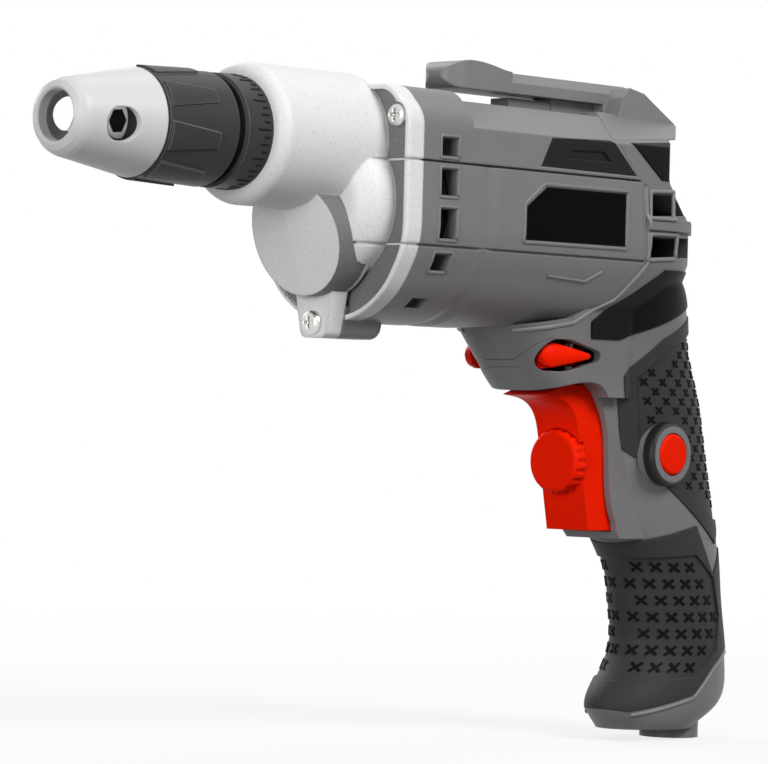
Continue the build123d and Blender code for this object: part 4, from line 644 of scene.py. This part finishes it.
PARTING_CLEAR = 0.0022


def grip_point(angle, z):
    """Points of the sunk fields: an oval whose front, back and half width change with the height; the angle runs
    from the front over the left side to the back."""
    front, back, half = (np.interp(-z, -GRIP[:, 0], GRIP[:, k]) for k in (1, 2, 3))
    length = (back - front) / 2 - FIELD_SINK
    x = (front + back) / 2 - length * np.cos(angle)
    return np.stack([x, -(half - FIELD_SINK) * np.sin(angle), z], axis=-1)


def mark_places(z_top, z_low, pitch, row, phase):
    """Angles and heights of staggered marks: equal steps of arc along each row, every second row set off by half."""
    heights = np.arange(z_top, z_low, -row)
    sweep = np.linspace(0.0, np.pi, 361)
    angles, places = [], []
    for k, z in enumerate(heights):
        ring = grip_point(sweep, np.full_like(sweep, z))
        arc = np.concatenate([[0.0], np.cumsum(np.linalg.norm(np.diff(ring, axis=0), axis=1))])
        stops = np.arange(phase + (k % 2) * pitch / 2, arc[-1], pitch)
        angles.append(np.interp(stops, arc, sweep))
        places.append(np.full_like(stops, z))
    return np.concatenate(angles), np.concatenate(places)


def within(corners, margin, x, z):
    """Which points of the side view lie inside a convex outline that runs clockwise, by at least a margin."""
    corners = np.array(corners)
    run = np.roll(corners, -1, axis=0) - corners
    run /= np.linalg.norm(run, axis=1)[:, None]
    off = (x[:, None] - corners[:, 0]) * run[:, 1] - (z[:, None] - corners[:, 1]) * run[:, 0]
    return (off > margin).all(axis=1)


CROSS = np.array([  # outline of an upright plus sign, half width of the arms 1, their reach 5
    (1, 1), (1, 5), (-1, 5), (-1, 1), (-5, 1), (-5, -1), (-1, -1), (-1, -5), (1, -5), (1, -1), (5, -1), (5, 1),
]) / 5
CROSS_TOP = [(0, 3, 6, 9), (0, 1, 2, 3), (3, 4, 5, 6), (6, 7, 8, 9), (9, 10, 11, 0)]
CROSS_FACES = np.array(
    [[k + 12 for k in face] for face in CROSS_TOP] + [face[::-1] for face in CROSS_TOP]
    + [(k, (k + 1) % 12, (k + 1) % 12 + 12, k + 12) for k in range(12)]
)


def crosses(angle, z, half_across, half_up, height):
    """Raised diagonal crosses on the grip: a plus sign turned by an eighth and stretched along the two directions of
    the surface, which it follows, from a little under it to its own height above it, where it is smaller."""
    step = 0.002
    middle = grip_point(angle, z)
    over = grip_point(angle + step, z) - middle
    pace = np.linalg.norm(over, axis=1) / step
    up = grip_point(angle, z + 0.0005) - middle
    normal = np.cross(up, over)
    normal /= np.linalg.norm(normal, axis=1)[:, None]
    turned = CROSS @ np.array([(1, 1), (-1, 1)]) / math.sqrt(2)
    levels = []
    for rise, share in ((-0.0003, 1.0), (height, 0.9)):
        beside = angle[:, None] + half_across * share * turned[:, 0] / pace[:, None]
        above = z[:, None] + half_up * share * turned[:, 1]
        levels.append(grip_point(beside, above) + rise * normal[:, None])
    return np.concatenate(levels, axis=1)


mark_rubber = surface("mark rubber", (0.004, 0.004, 0.004), 0.5, grain_scale=2600.0, radius=0.0001, sheen=0.05)
for name, field, places, size in (
    ("palm_marks", PALM_FIELD, mark_places(-0.0500, -0.110, 0.0084, 0.0030, 0.0010), (0.0019, 0.0015, 0.00015)),
    ("finger_marks", FINGER_FIELD, mark_places(-0.1275, -0.163, 0.0064, 0.0054, 0.0006), (0.0026, 0.0020, 0.00030)),
):
    angle, z = places
    x = grip_point(angle, z)[:, 0]
    shown = within(field, 0.0022, x, z) & (grip_point(angle, z)[:, 1] < -PARTING_CLEAR)
    left = shown & (np.hypot(x - BUTTON[0], z - BUTTON[1]) > BUTTON_CLEAR)
    for side, chosen in (("left", left), ("right", shown)):
        points, faces = copies(crosses(angle[chosen], z[chosen], *size), CROSS_FACES)
        if side == "right":
            points, faces = points * (1, -1, 1), faces[:, ::-1]
        piece(f"{name}_{side}", points, faces, mark_rubber, "housing", "black_rubber")

grip_rubber = surface("grip rubber", GRIP_COLOUR, 0.55, grain_scale=2000.0, grain_height=0.00006, sheen=0.12)
dress(grip_rubber, "palm_grip_left", "palm_grip_right", "finger_grip_left", "finger_grip_right")
soft_gloss = surface("smooth rubber", (0.006, 0.0055, 0.006), 0.42, grain_scale=2600.0, sheen=0.05)
dress(soft_gloss, "flank_pad_left", "flank_pad_right", "rear_pad_left", "rear_pad_right")

# Switch and controls: a closed switch with a sprung stem behind the trigger, and a trigger, dial, lock
# button and reversing lever moulded in orange-red plastic. The lever swings on an upright steel pin.
red = surface("red plastic", (0.94, 0.014, 0.0), 0.40, grain_scale=3000.0, grain_height=0.00002, tone=0.08,
              wear_and_highlight=(0.95, 0.03, 0.002), wear_and_highlight_share=0.4, radius=0.0009, sheen=0.04)
dress(red, "trigger", "speed_dial", "lock_button", "reverse_lever")
TRIGGER_COIL = dict(radius=0.0050, wire=0.0005, turns=3, start=0.21605, end=0.22445, z=-0.092)
GUARD = np.array([  # height, front and half width of the guard over the trigger, in millimetres
    (-67.0, 169.14, 16.04), (-66.0, 168.31, 16.16), (-65.0, 167.52, 16.30), (-64.0, 166.75, 16.45),
    (-62.0, 165.27, 16.76), (-60.8, 164.40, 16.97), (-60.0, 163.83, 17.11), (-58.0, 162.39, 17.49),
    (-56.0, 160.91, 17.88), (-55.0, 160.14, 18.08), (-54.0, 159.34, 18.29),
]) / 1000.0
GUARD_CORNER, GUARD_FLAT = 0.72, 0.28
SLOT_X, SLOT_R = 0.173, 0.005
LIP_LOW, LIP_HIGH = -0.0665, -0.0550
LIP_SINK, LIP_DEPTH = 0.00005, 0.00095
LEVER_X = 0.200
LEVER_Z = -0.0608
LEVER_REST = math.radians(-10.0)
CAP_X, CAP_LENGTH, CAP_WIDEST_X, CAP_HALF = 0.1724, 0.0186, 0.1765, 0.0039
VANE_X, VANE_LENGTH, VANE_ROUND_X, VANE_HALF, VANE_HALF_T = 0.1676, 0.0262, 0.1722, 0.0046, 0.0004


def slab(outer, inner):
    """Points and faces of the closed solid between two grids of the same size, with walls along their edges."""
    rows, columns = outer.shape[:2]
    index = np.arange(rows * columns).reshape(rows, columns)
    quads = np.stack([index[:-1, :-1], index[1:, :-1], index[1:, 1:], index[:-1, 1:]], axis=2).reshape(-1, 4)
    edge = np.concatenate([index[0, :-1], index[:-1, -1], index[-1, :0:-1], index[:0:-1, 0]])
    after = np.roll(edge, -1)
    under = rows * columns
    walls = np.stack([edge, after, after + under, edge + under], axis=1)
    points = np.concatenate([outer.reshape(-1, 3), inner.reshape(-1, 3)])
    return points, np.concatenate([quads, quads[:, ::-1] + under, walls])


def guard_skin(share, z, sink):
    """The guard's front round the lever's opening: a flat front and two round corners at each height, up to a
    round end on each side; share runs from -1 on the left to 1 on the right."""
    front, half = np.interp(z, GUARD[:, 0], GUARD[:, 1]), np.interp(z, GUARD[:, 0], GUARD[:, 2])
    radius, flat = GUARD_CORNER * half, GUARD_FLAT * half
    end = SLOT_X - np.sqrt(np.clip(SLOT_R ** 2 - (z - LEVER_Z) ** 2, 0.0, None))
    bend = np.arccos(1.0 - (end - front) / radius) * np.clip((np.abs(share) - 0.25) / 0.75, 0.0, 1.0)
    y = flat * np.clip(np.abs(share) / 0.25, 0.0, 1.0) + (radius - sink) * np.sin(bend)
    return np.stack([front + radius - (radius - sink) * np.cos(bend), np.sign(share) * y, z], axis=-1)


share, z = np.meshgrid(np.linspace(-1.0, 1.0, 65), np.linspace(LIP_LOW, LIP_HIGH, 25), indexing="ij")
lip = slab(guard_skin(share, z, LIP_SINK), guard_skin(share, z, LIP_DEPTH))
piece("guard_lip", *lip, dark_grey, "housing", "dark_plastic", True)


def lever_at_rest(grid):
    """Points of the straight lever turned about its pin to the rest."""
    cosine, sine = math.cos(LEVER_REST), math.sin(LEVER_REST)
    turn = np.array([(cosine, -sine, 0), (sine, cosine, 0), (0, 0, 1)])
    pin = np.array((LEVER_X, 0.0, 0.0))
    return (grid - pin) @ turn.T + pin


def lever_cap(side):
    """The almond cap of one tab: along X its half height grows fast, then tapers; its face is crowned between its
    edges; the whole is turned about the lever's pin to its rest."""
    along, across = np.meshgrid(np.linspace(0.0, 1.0, 41), np.linspace(-1.0, 1.0, 17), indexing="ij")
    x = CAP_X + CAP_LENGTH * along
    swell = np.sqrt(np.clip(1.0 - ((CAP_WIDEST_X - x) / 0.00415) ** 2, 0.0, 1.0))
    taper = CAP_HALF - 0.0030 * np.clip((x - CAP_WIDEST_X) / 0.0137, 0.0, 1.0)
    tail = np.sqrt(np.clip((0.19105 - x) / 0.0008, 0.0, 1.0))
    half = np.where(x < CAP_WIDEST_X, CAP_HALF * swell, taper * tail)
    edge = 0.0194 + 0.0013 * np.clip((x - CAP_X) / 0.0120, 0.0, 1.0)
    outer = edge + 0.0011 * (1.0 - across ** 2) * np.clip(half / CAP_HALF, 0.0, 1.0)
    inner = np.minimum(0.0145 + 0.007 * (x - 0.170) / 0.0189, 0.0205) - 0.0006
    z = LEVER_Z + half * across
    grids = [np.stack([x, side * y, z], axis=-1) for y in (outer, inner)]
    points, faces = slab(*map(lever_at_rest, grids))
    return points, faces if side < 0 else faces[:, ::-1]


for side, sign in (("left", -1), ("right", 1)):
    piece(f"lever_cap_{side}", *lever_cap(sign), red, "reverse_lever", "red_plastic", True)


def lever_vane():
    """The upright web between the lever's tabs: a thin flat leaf in the lever's middle plane, whose half height is a
    round end in front and then a straight taper, turned about the lever's pin to its rest."""
    along, across = np.meshgrid(np.linspace(0.0, 1.0, 41), np.linspace(-1.0, 1.0, 5), indexing="ij")
    x = VANE_X + VANE_LENGTH * along
    swell = np.sqrt(np.clip(1.0 - ((VANE_ROUND_X - x) / 0.00462) ** 2, 0.0, 1.0))
    taper = VANE_HALF - 0.0032 * np.clip((x - 0.1785) / 0.0154, 0.0, 1.0)
    half = np.where(x < VANE_ROUND_X, VANE_HALF * swell, taper)
    z = LEVER_Z + half * across
    grids = [np.stack([x, np.full_like(x, y), z], axis=-1) for y in (-VANE_HALF_T, VANE_HALF_T)]
    return slab(*map(lever_at_rest, grids))


piece("lever_vane", *lever_vane(), inner_black, "reverse_lever", "inner_plastic")
dress(inner_black, "switch_body", "trigger_stem")
dress(steel, "trigger_spring", "lever_pin")
trigger_coil = piece("trigger_coil", *coil(**TRIGGER_COIL), steel, "housing", "steel", True)
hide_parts("trigger_spring")
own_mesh(trigger_coil)

# Cord inlet: a soft rubber bush pushed into the foot of the handle, with a moulded clamp and two steel
# screws above it inside.
dress(soft_gloss, "cord_gland")
dress(inner_black, "cord_clamp")
dress(steel, "clamp_screws")
